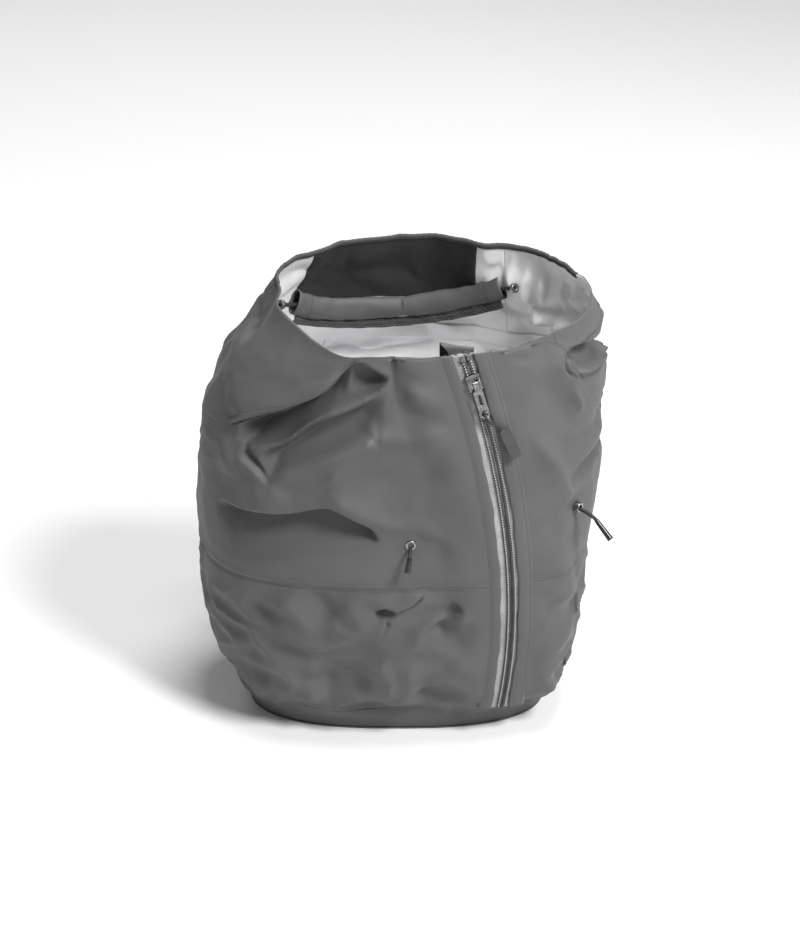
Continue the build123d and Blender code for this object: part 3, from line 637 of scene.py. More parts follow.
# right chest: the side turns away behind a soft edge
fold([(103, 311), (106, 296), (113, 277), (124, 268)], 4.5, 4.0, 12, 9, sharp=1.6, ends=(0.15, 0.3))
hollow([(106, 299), (114, 298), (126, 288)], [(106, 293), (114, 280), (126, 270)], 15.0, wall=0.2,
       ends=(2, 4), power=0.6)
ridge([(106, 274), (114, 261), (120, 247)], 3.4, 6.0, cusp=0.4)
ridge([(78, 252), (100, 219), (108, 198), (117, 184)], 4.2, 8.0, cusp=0.5, ends=(0.3, 0.2))
ridge([(122, 217), (117, 207), (114, 194)], -8.0, 5.0, cusp=0.35)
ridge([(92, 236), (106, 232), (122, 236)], -3.0, 8.0, cusp=0.2)
ridge([(86, 288), (96, 270), (112, 240)], -2.6, 10.0, cusp=0.2)
ridge([(90, 180), (104, 166), (118, 152)], -2.4, 8.0, cusp=0.3)
ridge([(62, 302), (64, 295), (68, 286)], -3.4, 2.6, cusp=0.7, ends=(0.15, 0.4))
ridge([(64, 303), (72, 299), (84, 298)], -2.6, 2.6, cusp=0.7)

turn = np.abs(column_angle)[None, :]                     # 0 at the front's middle, pi at the back's
to_rim = shell[-1:, :, 2] - height
calm = smooth_step(np.abs(offset_columns)[None, :], 11, 26)
calm = calm * (0.25 + 0.75 * smooth_step(to_rim, 0, 26)) * smooth_step(height, 4, 30)
EYELETS = [np.array((7, -98.3, 170)), np.array((118.5, -66, 180))]
for place_at in EYELETS:
    calm = calm * smooth_step(np.linalg.norm(shell - place_at, axis=-1), 4, 22)
sides_and_back = smooth_step(turn, 1.25, 1.8)
slow = waves((ROWS, COLUMNS), [(16, 26), (8, 13)], [1.0, 0.5])
fine = waves((ROWS, COLUMNS), [(3.0, 7), (1.6, 3.2)], [1.0, 0.45])
crumple = waves((ROWS, COLUMNS), [(6, 10), (3, 5)], [1.0, 0.35])
crumple = 1 - np.abs(crumple)                            # sharp valleys between soft humps
low_down = 1 - smooth_step(height, 96, 140)
normal_move += slow * (1.1 + 2.6 * sides_and_back) + fine * (0.12 + 0.12 * sides_and_back)
normal_move += crumple * (0.3 + 2.8 * low_down + 2.0 * sides_and_back)
crushed = waves((ROWS, COLUMNS), [(5, 6), (2.6, 3.4)], [1.0, 0.45])
crushed = np.minimum(np.abs(crushed) - 0.8, 0.5)
hood_inside = smooth_step(turn, 1.35, 1.9) * smooth_step(height, 215, 250)
normal_move += crushed * hood_inside * (0.7 + 3.0 * np.exp(-((column_angle[None, :] - 2.0) / 0.5) ** 2))
normal_move *= calm
drop_move *= calm
# the chest seam laps over the panel below, and bulges are flattened towards the back
normal_move += 0.7 * smooth_step(height, CHEST_SEAM_Z - 0.9, CHEST_SEAM_Z) * calm
normal_move -= 1.1 * np.exp(-((height - CHEST_SEAM_Z + 1.2) / 1.5) ** 2) * calm
at_back = smooth_step(turn, 1.9, 2.4) * (1 - 0.5 * smooth_step(height, 200, 230))
normal_move = np.where(normal_move > 0, normal_move * (1 - 0.8 * at_back), normal_move)

normals = surface_normals(shell)
flat_shell = shell
shell = flat_shell + normals * normal_move[..., None]
shell[..., 2] -= drop_move


# ------------------------------------------------------------------ shell: the cloth settles
SLACK, HOLD_STIFFNESS, SETTLE_FRAMES = -0.02, 2.0, 32
SETTLE_STEP, SETTLE_LIMIT = 3, 9.0


def settled(grid, hold):
    """Slightly roomy cloth, held more or less by its place: it buckles into small wrinkles and sags."""
    coarse, weight = grid[::SETTLE_STEP, ::SETTLE_STEP], hold[::SETTLE_STEP, ::SETTLE_STEP]
    rows, columns = coarse.shape[:2]
    faces = grid_faces(rows, columns, wrap_columns=True)
    thing = add_mesh("settling_cloth", coarse.reshape(-1, 3), faces, shell_cloth)
    group = thing.vertex_groups.new(name="held")
    for index, value in enumerate(weight.reshape(-1)):
        group.add([index], float(value), "REPLACE")
    cloth = thing.modifiers.new("cloth", "CLOTH")
    cloth.settings.quality = 5
    cloth.settings.mass = 0.12
    cloth.settings.air_damping = 3.0
    cloth.settings.tension_stiffness = cloth.settings.compression_stiffness = 25
    cloth.settings.shear_stiffness = 8
    cloth.settings.bending_stiffness = 0.35
    cloth.settings.shrink_min = SLACK
    cloth.settings.vertex_group_mass = "held"
    cloth.settings.pin_stiffness = HOLD_STIFFNESS
    cloth.collision_settings.use_collision = False
    cloth.point_cache.frame_end = SETTLE_FRAMES
    scene = bpy.context.scene
    for frame_number in range(1, SETTLE_FRAMES + 1):
        scene.frame_set(frame_number)
    shape = thing.evaluated_get(bpy.context.evaluated_depsgraph_get()).to_mesh()
    moved = np.empty(len(shape.vertices) * 3)
    shape.vertices.foreach_get("co", moved)
    moved = moved.reshape(coarse.shape) / MM - coarse
    moved = blur(blur(moved, 0.8, 0), 0.8, 1, wrap=True)
    scene.frame_set(1)
    bpy.data.objects.remove(thing)
    row_place = np.arange(grid.shape[0]) / SETTLE_STEP
    column_place = np.arange(grid.shape[1]) / SETTLE_STEP
    moved = np.concatenate([moved, moved[:, :1]], 1)
    r = np.clip(np.floor(row_place).astype(int), 0, rows - 2)
    c = np.clip(np.floor(column_place).astype(int), 0, columns - 1)
    a = np.minimum(row_place - r, 1)[:, None, None]
    b = (column_place - c)[None, :, None]
    fine_move = ((moved[r][:, c] * (1 - b) + moved[r][:, c + 1] * b) * (1 - a)
                 + (moved[r + 1][:, c] * (1 - b) + moved[r + 1][:, c + 1] * b) * a)
    return grid + np.clip(fine_move, -SETTLE_LIMIT, SETTLE_LIMIT)


loose = 0.36 + 0.3 * np.maximum(low_down, sides_and_back)
shell = settled(shell, np.clip(1.0 - loose * calm * smooth_step(to_rim, 6, 30), 0.02, 1.0))

# ------------------------------------------------------------------ more materials
def lining_material(name, light, dark, pitch, roughness=0.85):
    """Knitted lining: a small square grid in the bump and in the colour."""
    material, tree, shader = new_material(name, light, roughness, sheen=0.02, specular=0.2)
    weave = woven(tree, pitch)
    tree.links.new(ramp(tree, weave, [(0.1, dark), (0.6, light)]), shader.inputs["Base Color"])
    bump(tree, shader, [(weave, 0.5, pitch * 0.5), (noise(tree, 3.0, 3.0), 0.1, 0.4)])
    return material


def metal_material(name, light, dark, roughness):
    """Plated metal: worn tone and fine scratches."""
    material, tree, shader = new_material(name, light, roughness, metallic=1.0)
    wear = noise(tree, 2.6, 4.0, 0.6)
    tree.links.new(ramp(tree, wear, [(0.35, dark), (0.62, light)]), shader.inputs["Base Color"])
    level = node(tree, "ShaderNodeMapRange", From_Min=0.3, From_Max=0.7, To_Min=roughness - 0.07,
                 To_Max=roughness + 0.1)
    tree.links.new(wear, level.inputs["Value"])
    tree.links.new(level.outputs["Result"], shader.inputs["Roughness"])
    bump(tree, shader, [(noise(tree, 0.35, 3.0, 0.7), 0.06, 0.05)])
    return material


def moulded_material(name, light, dark, roughness, coat=0.0):
    """Moulded plastic or rubber: fine texture of the mould and slight tone changes."""
    material, tree, shader = new_material(name, light, roughness, coat=coat)
    slow = noise(tree, 5.0, 3.0)
    tree.links.new(ramp(tree, slow, [(0.35, dark), (0.65, light)]), shader.inputs["Base Color"])
    bump(tree, shader, [(noise(tree, 0.4, 2.0, 0.6), 0.12, 0.06), (slow, 0.05, 0.2)])
    return material


def cord_material(name, light, dark):
    """Braided cord: small slanted plaits."""
    material, tree, shader = new_material(name, light, 0.6, sheen=0.03)
    braid = woven(tree, 0.7)
    tree.links.new(ramp(tree, braid, [(0.1, dark), (0.5, light)]), shader.inputs["Base Color"])
    bump(tree, shader, [(braid, 0.6, 0.3)])
    return material


dark_lining = lining_material("dark_lining", grey(0.046), grey(0.030), 1.0)
ribbed_lining = lining_material("ribbed_lining", grey(0.082), grey(0.050), 1.6)
dark_binding = lining_material("dark_binding", grey(0.078), grey(0.048), 0.6)
seam_tape_film = cloth_material("seam_tape", grey(0.80), grey(0.70), 0.28, 0.5, grain=0.05, sheen=0.0,
                                coat=0.4, crumple=0.06, weave_strength=0.03)
zip_tape_cloth = cloth_material("zip_tape", grey(0.40), grey(0.12), 0.5, 0.7, grain=0.4, sheen=0.0, coat=0.1,
                                crumple=0.15, weave_strength=0.2)
zip_coil_plastic = moulded_material("zip_coil", grey(0.085), grey(0.05), 0.35)
stitch_thread = cord_material("stitch_thread", grey(0.62), grey(0.40))
dark_thread = cord_material("dark_thread", grey(0.11), grey(0.06))
gunmetal = metal_material("gunmetal", grey(0.30), grey(0.15), 0.28)
eyelet_metal = metal_material("eyelet_metal", grey(0.30), grey(0.18), 0.3)
spring_steel = metal_material("spring_steel", grey(0.6), grey(0.45), 0.25)
black_cord = cord_material("black_cord", grey(0.022), grey(0.008))
black_rubber = moulded_material("black_rubber", grey(0.010), grey(0.006), 0.3)
moulded_grey = moulded_material("moulded_grey", grey(0.045), grey(0.034), 0.5)
black_plastic = moulded_material("black_plastic", grey(0.020), grey(0.012), 0.35)


# ------------------------------------------------------------------ shell: its panels
def columns_at(test_rows, x_low, x_high):
    """Columns of the back half whose x lies between two values at the given rows."""
    middle_row = shell[test_rows].mean(0)
    return (middle_row[:, 0] >= x_low) & (middle_row[:, 0] < x_high) & (np.cos(column_angle) < 0.3)


SIDE_SEAM_Y, BINDING_Y = -35.0, -20.0
HOOD_LEFT_X, HOOD_RIGHT_X = -38.0, 72.0
SLOT_LEFT, SLOT_RIGHT = 6, 5                             # columns cut away beside the zip, 1.5 mm each
row_of = np.arange(ROWS - 1)[:, None]
left_of_zip = (offset_columns < 0)[None, :]
middle_columns = flat_shell[CHEST_ROW]
front_part = (middle_columns[:, 1] < SIDE_SEAM_Y)[None, :]
slot_cut = ((offset_columns >= -SLOT_LEFT) & (offset_columns < SLOT_RIGHT))[None, :] & (row_of >= BASE_ROW)
hood_left = columns_at(slice(CREASE_ROW, ROWS), -400, HOOD_LEFT_X)[None, :] | (
    front_part & left_of_zip & (flat_shell[CREASE_ROW][:, 0] < -29)[None, :])
hood_right = columns_at(slice(CREASE_ROW, ROWS), HOOD_RIGHT_X, 400)[None, :] | (
    front_part & ~left_of_zip & (flat_shell[CREASE_ROW][:, 0] > 98)[None, :])
in_hood = np.where(front_part, row_of >= CREASE_ROW, row_of >= NECK_ROW)
panels = {
    "chest_panel_left": front_part & left_of_zip & (row_of >= CHEST_ROW) & ~(in_hood & hood_left),
    "chest_panel_right": front_part & ~left_of_zip & (row_of >= CHEST_ROW) & ~(in_hood & hood_right),
    "lower_front_left": front_part & left_of_zip & (row_of >= BASE_ROW) & (row_of < CHEST_ROW),
    "lower_front_right": front_part & ~left_of_zip & (row_of >= BASE_ROW) & (row_of < CHEST_ROW),
    "hood_side_left": in_hood & hood_left,
    "hood_side_right": in_hood & hood_right,
    "hood_centre_panel": in_hood & ~front_part & ~hood_left & ~hood_right,
    "back_panel": ~front_part & (row_of >= BASE_ROW) & (row_of < NECK_ROW),
    "base_fold": np.broadcast_to(row_of < BASE_ROW, (ROWS - 1, COLUMNS)),
}
CLOTH = 0.9
# the inside is pale laminate only where it can be seen over the rim
hidden_lining = (front_part & ((to_rim > 26) | (to_rim < 3.5))[:-1]) | (row_of < CHEST_ROW)

# each panel: its faces of the shell's grid, thickened, with laminate inside where it is seen
for name, keep in panels.items():
    keep = keep & ~slot_cut
    materials = [shell_cloth, laminate, shell_cloth, shell_cloth]
    made = add_grid(f"shell_{name}", shell, materials, wrap_columns=True, keep=keep)
    made.data.polygons.foreach_set("material_index", hidden_lining[keep].astype(np.int32) * 2)
    thicken(made, CLOTH, inner_slot=1)
    place(made, "shell_fabric", name)


def sample(grid, row, column):
    """Points of the grid at fractional rows and columns."""
    row, column = np.broadcast_arrays(np.clip(row, 0, grid.shape[0] - 1.001), np.asarray(column, float))
    r, c = np.floor(row).astype(int), np.floor(column).astype(int)
    a, b = (row - r)[..., None], (column - c)[..., None]
    c0, c1 = c % COLUMNS, (c + 1) % COLUMNS
    return ((grid[r, c0] * (1 - b) + grid[r, c1] * b) * (1 - a)
            + (grid[r + 1, c0] * (1 - b) + grid[r + 1, c1] * b) * a)


shell_normals = surface_normals(shell)


def back_column(x, row):
    """Column of the back half at an x, for a row."""
    order = np.arange(COLUMNS // 4, 3 * COLUMNS // 4 + 1)
    line = sample(shell, row, order)[:, 0]
    return float(np.interp(-x, -line, order))


def row_at(z, column):
    """Row of the shell at a height, for a column."""
    return float(np.interp(z, shell[:, int(column) % COLUMNS, 2], np.arange(ROWS)))


def patch(rows, columns, depth):
    """Points at rows x columns of the shell, depth millimetres inwards of it."""
    return sample(shell, rows, columns) - sample(shell_normals, rows, columns) * np.asarray(depth)[..., None]


# base: a flat underside closes the bundle, and carries the crumpled foot behind it
inward = np.linspace(0, 1, 24)[:, None]
centre = np.array([0.0, -8.0, 1.0])
under = centre + (shell[0] - centre) * (1 - inward[..., None])
under[..., 2] = 1.0 + 1.2 * smooth_step(inward, 0, 0.2)
underside = thicken(add_grid("base_underside", under[:-1], shell_cloth, wrap_columns=True), 0.8)
place(underside, "shell_fabric")

FOOT_X, FOOT_Y, FOOT_TOP = 105.0, (6.0, 85.5), 13.6
FOOT_COLUMNS = 260
foot_turn = full_turn(FOOT_COLUMNS)
foot_edge = np.stack([FOOT_X * signed_power(np.cos(foot_turn), 0.5),
                      np.mean(FOOT_Y) + np.ptp(FOOT_Y) / 2 * signed_power(np.sin(foot_turn), 0.6)], -1)
foot_profile = [(0.05, 0.6), (0.9, 0.6), (0.965, 1.0), (0.99, 3.0), (1.0, 6.5), (0.99, 10.0), (0.965, 12.6),
                (0.9, FOOT_TOP - 0.4), (0.75, FOOT_TOP), (0.4, FOOT_TOP), (0.05, FOOT_TOP)]
foot_profile = catmull(foot_profile, 4)
foot_wave = waves((len(foot_profile), FOOT_COLUMNS), [(3, 5), (1.5, 2.5)], [0.9, 0.4])
foot_middle = np.array([0.0, np.mean(FOOT_Y)])
foot_grid = np.empty((len(foot_profile), FOOT_COLUMNS, 3))
foot_grid[..., :2] = foot_middle + (foot_edge - foot_middle) * (foot_profile[:, 0, None, None]
                                                              - 0.012 * np.abs(foot_wave)[..., None])
foot_grid[..., 2] = np.clip(foot_profile[:, 1, None] - 0.5 * np.abs(foot_wave), 0.5, FOOT_TOP)
foot = place(add_grid("base_fold_foot", foot_grid, shell_cloth, wrap_columns=True), "shell_fabric")

# ------------------------------------------------------------------ packed fabric inside
# a crumpled sheet across the bundle: rings from the shell's inside at one height to the middle
PACKED_Z, PACKED_LIFT, PACKED_RINGS = 188.0, 4.5, 60
packed_row = int(row_at(PACKED_Z, 0))
packed_edge = (shell - shell_normals * CLOTH)[packed_row, ::3]
packed_edge = packed_edge + unit(np.array([0, -18, PACKED_Z]) - packed_edge) * 0.4
packed_share = np.linspace(1, 0.02, PACKED_RINGS)
packed_grid = packed_edge.mean(0) + (packed_edge - packed_edge.mean(0)) * packed_share[:, None, None]
hump = 1.3 - np.abs(waves((PACKED_RINGS, len(packed_edge)), [(6, 12), (3, 6)], [1.0, 0.45]))
off_edge = smooth_step(1 - packed_share, 0, 0.25)[:, None]
packed_grid[..., 2] = PACKED_Z - 2 + PACKED_LIFT * hump * off_edge + 3 * (1 - off_edge)
packed = add_grid("packed_inner_body", packed_grid[:, ::-1], [laminate, shell_cloth], wrap_columns=True)
thicken(packed, 0.8)
place(packed, "shell_fabric", "folded_inner_body")

# ------------------------------------------------------------------ tubes, beads and pillows
TUBE_SIDES = 5


def tube(name, centre_line, radius, material):
    """Round tube with closed ends along points in millimetres."""
    along = unit(np.gradient(centre_line, axis=0))
    side = np.cross(along[0], (0, 0, 1) if abs(along[0][2]) < 0.9 else (0, 1, 0))
    turns = full_turn(TUBE_SIDES)[:, None]
    rings = []
    for point, direction in zip(centre_line, along):
        side = unit(side - direction * (side @ direction))
        rings.append(point + radius * (np.cos(turns) * side + np.sin(turns) * np.cross(direction, side)))
    faces = grid_faces(len(rings), TUBE_SIDES, wrap_columns=True).tolist()
    last = (len(rings) - 1) * TUBE_SIDES
    faces += [list(range(TUBE_SIDES))[::-1], list(range(last, last + TUBE_SIDES))]
    return add_mesh(name, np.reshape(rings, (-1, 3)), faces, material)


BEAD_RING = 6


def beads(name, starts, ends, normals_at, radius, material, flatten=0.6):
    """Small capsules lying on a surface, one for each stitch."""
    starts, ends = np.asarray(starts, float), np.asarray(ends, float)
    direction = unit(ends - starts)
    out_way = unit(normals_at - direction * (normals_at * direction).sum(-1, keepdims=True))
    side = np.cross(direction, out_way)
    turns = full_turn(BEAD_RING)[None, :, None]
    points, faces = [], []
    ring = np.cos(turns) * side[:, None] + np.sin(turns) * out_way[:, None] * flatten
    for share, size in ((0.0, 0.45), (0.22, 0.95), (0.78, 0.95), (1.0, 0.45)):
        points.append((starts + (ends - starts) * share)[:, None] + ring * radius * size)
    grid = np.stack(points, 1)                           # stitch, ring, turn
    around = np.arange(BEAD_RING)
    for base in range(0, grid.size // 3, 4 * BEAD_RING):
        faces += (base + grid_faces(4, BEAD_RING, wrap_columns=True)).tolist()
        faces += [(base + around[::-1]).tolist(), (base + 3 * BEAD_RING + around).tolist()]
    return add_mesh(name, grid.reshape(-1, 3), faces, material)


def stitch_row(line, line_normals, pitch, length, lift):
    """Start, end and normal of each stitch of a seam along a line."""
    steps = np.r_[0, np.cumsum(np.linalg.norm(np.diff(line, axis=0), axis=1))]
    begin = np.arange(0.5 * pitch, steps[-1] - length, pitch)
    at = lambda s, values: np.stack([np.interp(s, steps, values[:, k]) for k in range(3)], -1)
    raised = line + line_normals * lift
    return at(begin, raised), at(begin + length, raised), at(begin + length / 2, line_normals)


def joined(rows):
    return [np.concatenate(part) for part in zip(*rows)]


def pillow(name, x, z, y_middle, half, edge, wobble, material, groove=None):
    """Flat stack of cloth: grids x and z, rounded towards its edges, front and back joined at the rim."""
    rows, columns = x.shape
    u, v = np.linspace(-1, 1, columns)[None, :], np.linspace(-1, 1, rows)[:, None]
    from_side, from_end = (1 - np.abs(u)) * np.ptp(x, axis=1).mean() / 2, (1 - np.abs(v)) * np.ptp(z) / 2
    near = np.minimum(from_side, from_end)
    bulge = np.sqrt(np.clip(1 - (1 - np.clip(near / edge, 0, 1)) ** 2, 0, 1))
    outer_y = y_middle + half * bulge + wobble * bulge
    inner_y = y_middle - half * bulge
    if groove is not None:
        outer_y = np.minimum(outer_y, groove)
    front_grid = np.stack([x, np.maximum(outer_y, inner_y + 0.05 * bulge), z], -1)
    back_grid = np.stack([x, inner_y, z], -1)[1:-1, 1:-1]
    index = np.arange(rows * columns).reshape(rows, columns)
    index[1:-1, 1:-1] = rows * columns + np.arange((rows - 2) * (columns - 2)).reshape(rows - 2, columns - 2)
    behind = np.stack([index[:-1, :-1], index[1:, :-1], index[1:, 1:], index[:-1, 1:]], -1).reshape(-1, 4)
    faces = np.concatenate([grid_faces(rows, columns), behind])[:, ::-1]
    points = np.concatenate([front_grid.reshape(-1, 3), back_grid.reshape(-1, 3)])
    return add_mesh(name, points, faces, material)


# ------------------------------------------------------------------ hood interior
BRIM_X, BRIM_BOTTOM = (-57.0, 51.0), 283.0
share_up = np.linspace(0, 1, 26)[:, None]
column_left = back_column(BRIM_X[0], ROWS - 3)
column_right = back_column(BRIM_X[1], ROWS - 3)
share_across = np.linspace(0, 1, 70)
top_row = ROWS - 1.6
bottom_row = row_at(BRIM_BOTTOM, (column_left + column_right) / 2)
lining_rows = bottom_row + (top_row - bottom_row) * share_up
slant = (1 - share_up) * 7.0
lining_columns = (column_left - slant) + (column_right - column_left + slant) * share_across[None, :]
lining_grid = patch(lining_rows, lining_columns, CLOTH + 0.35)
lining = add_grid("brim_lining_cloth", lining_grid[:, ::-1], dark_lining)
thicken(lining, 0.7, offset=1.0)
place(lining, "dark_lining", "brim_lining")

binding_columns = np.array([c for c in range(COLUMNS) if shell[ROWS - 1, c, 1] > BINDING_Y])
rim_points = shell[ROWS - 1, binding_columns]
rim_out = shell_normals[ROWS - 2, binding_columns]
rim_up = unit(shell[ROWS - 1, binding_columns] - shell[ROWS - 3, binding_columns])
ripple = (0.12 * np.sin(np.arange(len(binding_columns)) * 1.7))[:, None]
section = [(0.35, -3.0), (0.55, -2.2), (0.6, -0.4), (0.3, 0.5), (-0.45, 0.75), (-1.2, 0.5), (-1.55, -0.4),
           (-1.5, -2.2), (-1.3, -3.0)]
binding_grid = np.stack([rim_points + rim_out * (o + ripple * (o > 0)) + rim_up * u for o, u in section], 0)
binding = add_grid("brim_binding_tape", binding_grid[:, ::-1], dark_binding)
thicken(binding, 0.35, offset=0.0)
place(binding, "dark_binding", "brim_binding")

SEAM_TAPE_Z = (246.0, 260.0)
tape_columns = np.arange(back_column(118, CREASE_ROW) - 8, back_column(-118, CREASE_ROW) + 8, 1.0)
tape_low, tape_high = (np.array([row_at(z, c) for c in tape_columns]) for z in SEAM_TAPE_Z)
tape_share = np.linspace(0, 1, 9)[:, None]
tape_grid = patch(tape_low + (tape_high - tape_low) * tape_share, tape_columns,
                  CLOTH + 0.15 + 0.25 * np.sin(np.pi * tape_share))
seam_tape = add_grid("hood_seam_tape_film", tape_grid[:, ::-1], seam_tape_film)
thicken(seam_tape, 0.3, offset=1.0)
place(seam_tape, "seam_tape", "hood_seam_tape")


def arc_through(a, b, c, share):
    """Points of the circle arc from a through b to c."""
    ab, ac = np.subtract(b, a), np.subtract(c, a)
    normal = np.cross(ab, ac)
    to_centre = np.cross(normal, ab) * (ac @ ac) + np.cross(ac, normal) * (ab @ ab)
    centre_at = a + to_centre / (2 * normal @ normal)
    first, end = a - centre_at, c - centre_at
    second = np.cross(unit(normal), first)
    angle = np.arctan2(end @ second, end @ first) % (FULL_TURN)
    turn_by = np.asarray(share)[:, None] * angle
    return centre_at + np.cos(turn_by) * first + np.sin(turn_by) * second


TUNNEL = [(-70, 0, 297), (0, 30.5, 281), (68, 18, 300)]
TUNNEL_HIGH, TUNNEL_DEEP = 7.0, 3.8
TUNNEL_POINTS, TUNNEL_ROUND = 150, 40
tunnel_share = np.linspace(0, 1, TUNNEL_POINTS)
tunnel_line = arc_through(*TUNNEL, tunnel_share)
tunnel_along = unit(np.gradient(tunnel_line, axis=0))
tunnel_side = unit(np.cross(tunnel_along, (0, 0, 1)))
tunnel_up = np.cross(tunnel_side, tunnel_along)
turns = full_turn(TUNNEL_ROUND)
pucker = waves((TUNNEL_POINTS, TUNNEL_ROUND), [(3.0, 3.0), (7.0, 5.0)], [0.28, 0.4])
from_start = tunnel_share[:, None]
bartack_pinch = np.exp(-((from_start - 0.53) / 0.035) ** 2)
end_pinch = 1 - 0.25 * np.exp(-from_start / 0.03) - 0.3 * np.exp(-(1 - from_start) / 0.03)
tunnel_deep = np.cos(turns) * (TUNNEL_DEEP + pucker) * (1 - 0.15 * bartack_pinch) * end_pinch
tunnel_tall = np.sin(turns) * (TUNNEL_HIGH + pucker) * (1 - 0.08 * bartack_pinch)
tunnel_grid = (tunnel_line[:, None] + tunnel_side[:, None] * tunnel_deep[..., None]
               + tunnel_up[:, None] * tunnel_tall[..., None])
roll = add_grid("halo_tunnel_roll", tunnel_grid, shell_cloth, wrap_columns=True)
thicken(roll, 0.8)
place(roll, "shell_fabric", "halo_tunnel")
strip_rows = np.linspace(-3.2, 3.4, 8)[:, None, None]
strip_drop = np.array([0, 0, TUNNEL_HIGH + 4.0])
wavy = 0.35 * np.sin(tunnel_share * 60)[:, None] + 0.5 * np.cos(strip_rows * 2.4)
strip_grid = tunnel_line - strip_drop + tunnel_up * strip_rows + tunnel_side * wavy
strip = add_grid("halo_tunnel_base_strip", strip_grid, ribbed_lining)
thicken(strip, 1.1, offset=0.0)
place(strip, "dark_lining", "halo_tunnel_base")


def soft_cord(name, points, radius, material):
    """NURBS curve with a round section, led by a few points in millimetres."""
    curve = bpy.data.curves.new(name, "CURVE")
    curve.dimensions = "3D"
    curve.bevel_depth = radius * MM
    curve.bevel_resolution = 4
    curve.use_fill_caps = True
    curve.resolution_u = 16
    spline = curve.splines.new("NURBS")
    spline.points.add(len(points) - 1)
    for point, at in zip(spline.points, points):
        point.co = (*(float(v) * MM for v in at), 1)
    spline.order_u = 3
    spline.use_endpoint_u = True
    curve.materials.append(material)
    thing = bpy.data.objects.new(name, curve)
    bpy.context.scene.collection.objects.link(thing)
    return thing


HALO_ROUTE = [tunnel_line[0] - tunnel_along[0] * 12 + (0, -3, -1), tunnel_line[0], tunnel_line[30],
              tunnel_line[62], tunnel_line[88], tunnel_line[120], tunnel_line[-1],
              tunnel_line[-1] + tunnel_along[-1] * 10 + (0, -3, -1)]
halo = soft_cord("halo_cord_line", HALO_ROUTE, 1.3, black_cord)
place(halo, "black_cord", "halo_cord")

# stitched lines around the tunnel's face near its ends, and a bar-tack at its middle:
# place along the tunnel, lower and upper angle, pitch, stitch length
TUNNEL_STITCHES = [(12, -1.2, 1.3, 1.9, 1.1), (138, -1.2, 1.3, 1.9, 1.1), (79, 0.0, 1.2, 0.9, 0.8),
                   (80, 0.2, 1.1, 0.9, 0.6)]
rows = []
for at, low, high, pitch, long in TUNNEL_STITCHES:
    face_turn = np.linspace(low, high, 60)
    facing_front = -np.sign(tunnel_side[at][1])
    turned = face_turn if facing_front > 0 else np.pi - face_turn
    outward = (tunnel_side[at] * facing_front * np.cos(face_turn)[:, None]
               + tunnel_up[at] * np.sin(face_turn)[:, None])
    face = [np.interp(turned % FULL_TURN, turns, values, period=FULL_TURN) for values in tunnel_grid[at].T]
    rows.append(stitch_row(np.stack(face, -1) + outward * 0.9, outward, pitch, long, 0.0))
place(beads("tunnel_stitches", *joined(rows), 0.34, black_cord), "black_cord")

# ------------------------------------------------------------------ stitching on the outside
def surface_line(points):
    """Points and normals on the shell for (row, column) pairs."""
    points = np.asarray(points, float)
    return sample(shell, points[:, 0], points[:, 1]), sample(shell_normals, points[:, 0], points[:, 1])


def side_seam_column(sign):
    """Column of the side seam on one side, at the chest seam's height."""
    x, y = flat_shell[CHEST_ROW, :, 0], flat_shell[CHEST_ROW, :, 1]
    return int(np.argmin(np.abs(y - SIDE_SEAM_Y) + 1e3 * (np.sign(x) != sign)))


def seam_row(rows_line, columns_line):
    line, line_normals = surface_line(np.stack(np.broadcast_arrays(rows_line, columns_line), -1))
    return stitch_row(line, line_normals, 2.6, 1.7, 0.05)


left_end, right_end = side_seam_column(-1), side_seam_column(1)
rows = []
for first, last in ((left_end - COLUMNS, ZIP_COLUMN - 9), (ZIP_COLUMN + 9, right_end)):
    for above in (1.3, 3.0):
        rows.append(seam_row(CHEST_ROW + above, np.arange(first, last, 0.5)))
for column in (left_end + 1.2, right_end - 1.2):
    rows.append(seam_row(np.arange(BASE_ROW + 1, CHEST_ROW, 0.5), column))
    rows.append(seam_row(np.arange(NECK_ROW, NECK_ROW + 60, 0.5), column))
place(beads("seam_stitches", *joined(rows), 0.2, dark_thread), "shell_fabric")

# ------------------------------------------------------------------ zips
def straight_zip(low, high):
    """A straight zip on the back: its point function (across, out, down from the top) and its length."""
    low, high = np.array(low, float), np.array(high, float)
    down = unit(low - high)
    out_way = unit(np.array([0, 1, 0]) - down * down[1])
    right = np.cross(out_way, down)

    def point(across, out, along):
        across, out, along = np.broadcast_arrays(np.asarray(across, float), out, along)
        return high + across[..., None] * right + out[..., None] * out_way + along[..., None] * down

    return point, float(np.linalg.norm(low - high))


def front_zip_point(across, out, along):
    """The curved front zip in the same terms, along measured down from its top."""
    return zip_point(across, out, ZIP_UP - np.asarray(along, float))


BACK_ZIP = [(70, 84, 14.5), (42, 84, 221.5)]             # lower and upper end
POCKET_ZIP = [(-34, 84.4, 40), (-52, 84.4, 182)]
POCKET_SIZE, POCKET_TAPE_HALF, POCKET_TAPE_PAST = 0.72, 8.6, 3.0
back_zip_point, back_zip_length = straight_zip(*BACK_ZIP)
pocket_point, pocket_length = straight_zip(*POCKET_ZIP)
FRONT_LENGTH = ZIP_UP + ZIP_DOWN
TAPE_IN, TAPE_OUT, TAPE_POINTS = 0.15, 15.0, 14
TAPE_SLANT = 0.28                                        # the front tapes' top follows the sloping rim
COIL_MIDDLE, COIL_REACH, COIL_RISE, COIL_HIGH = 1.66, 1.5, 1.15, 0.72


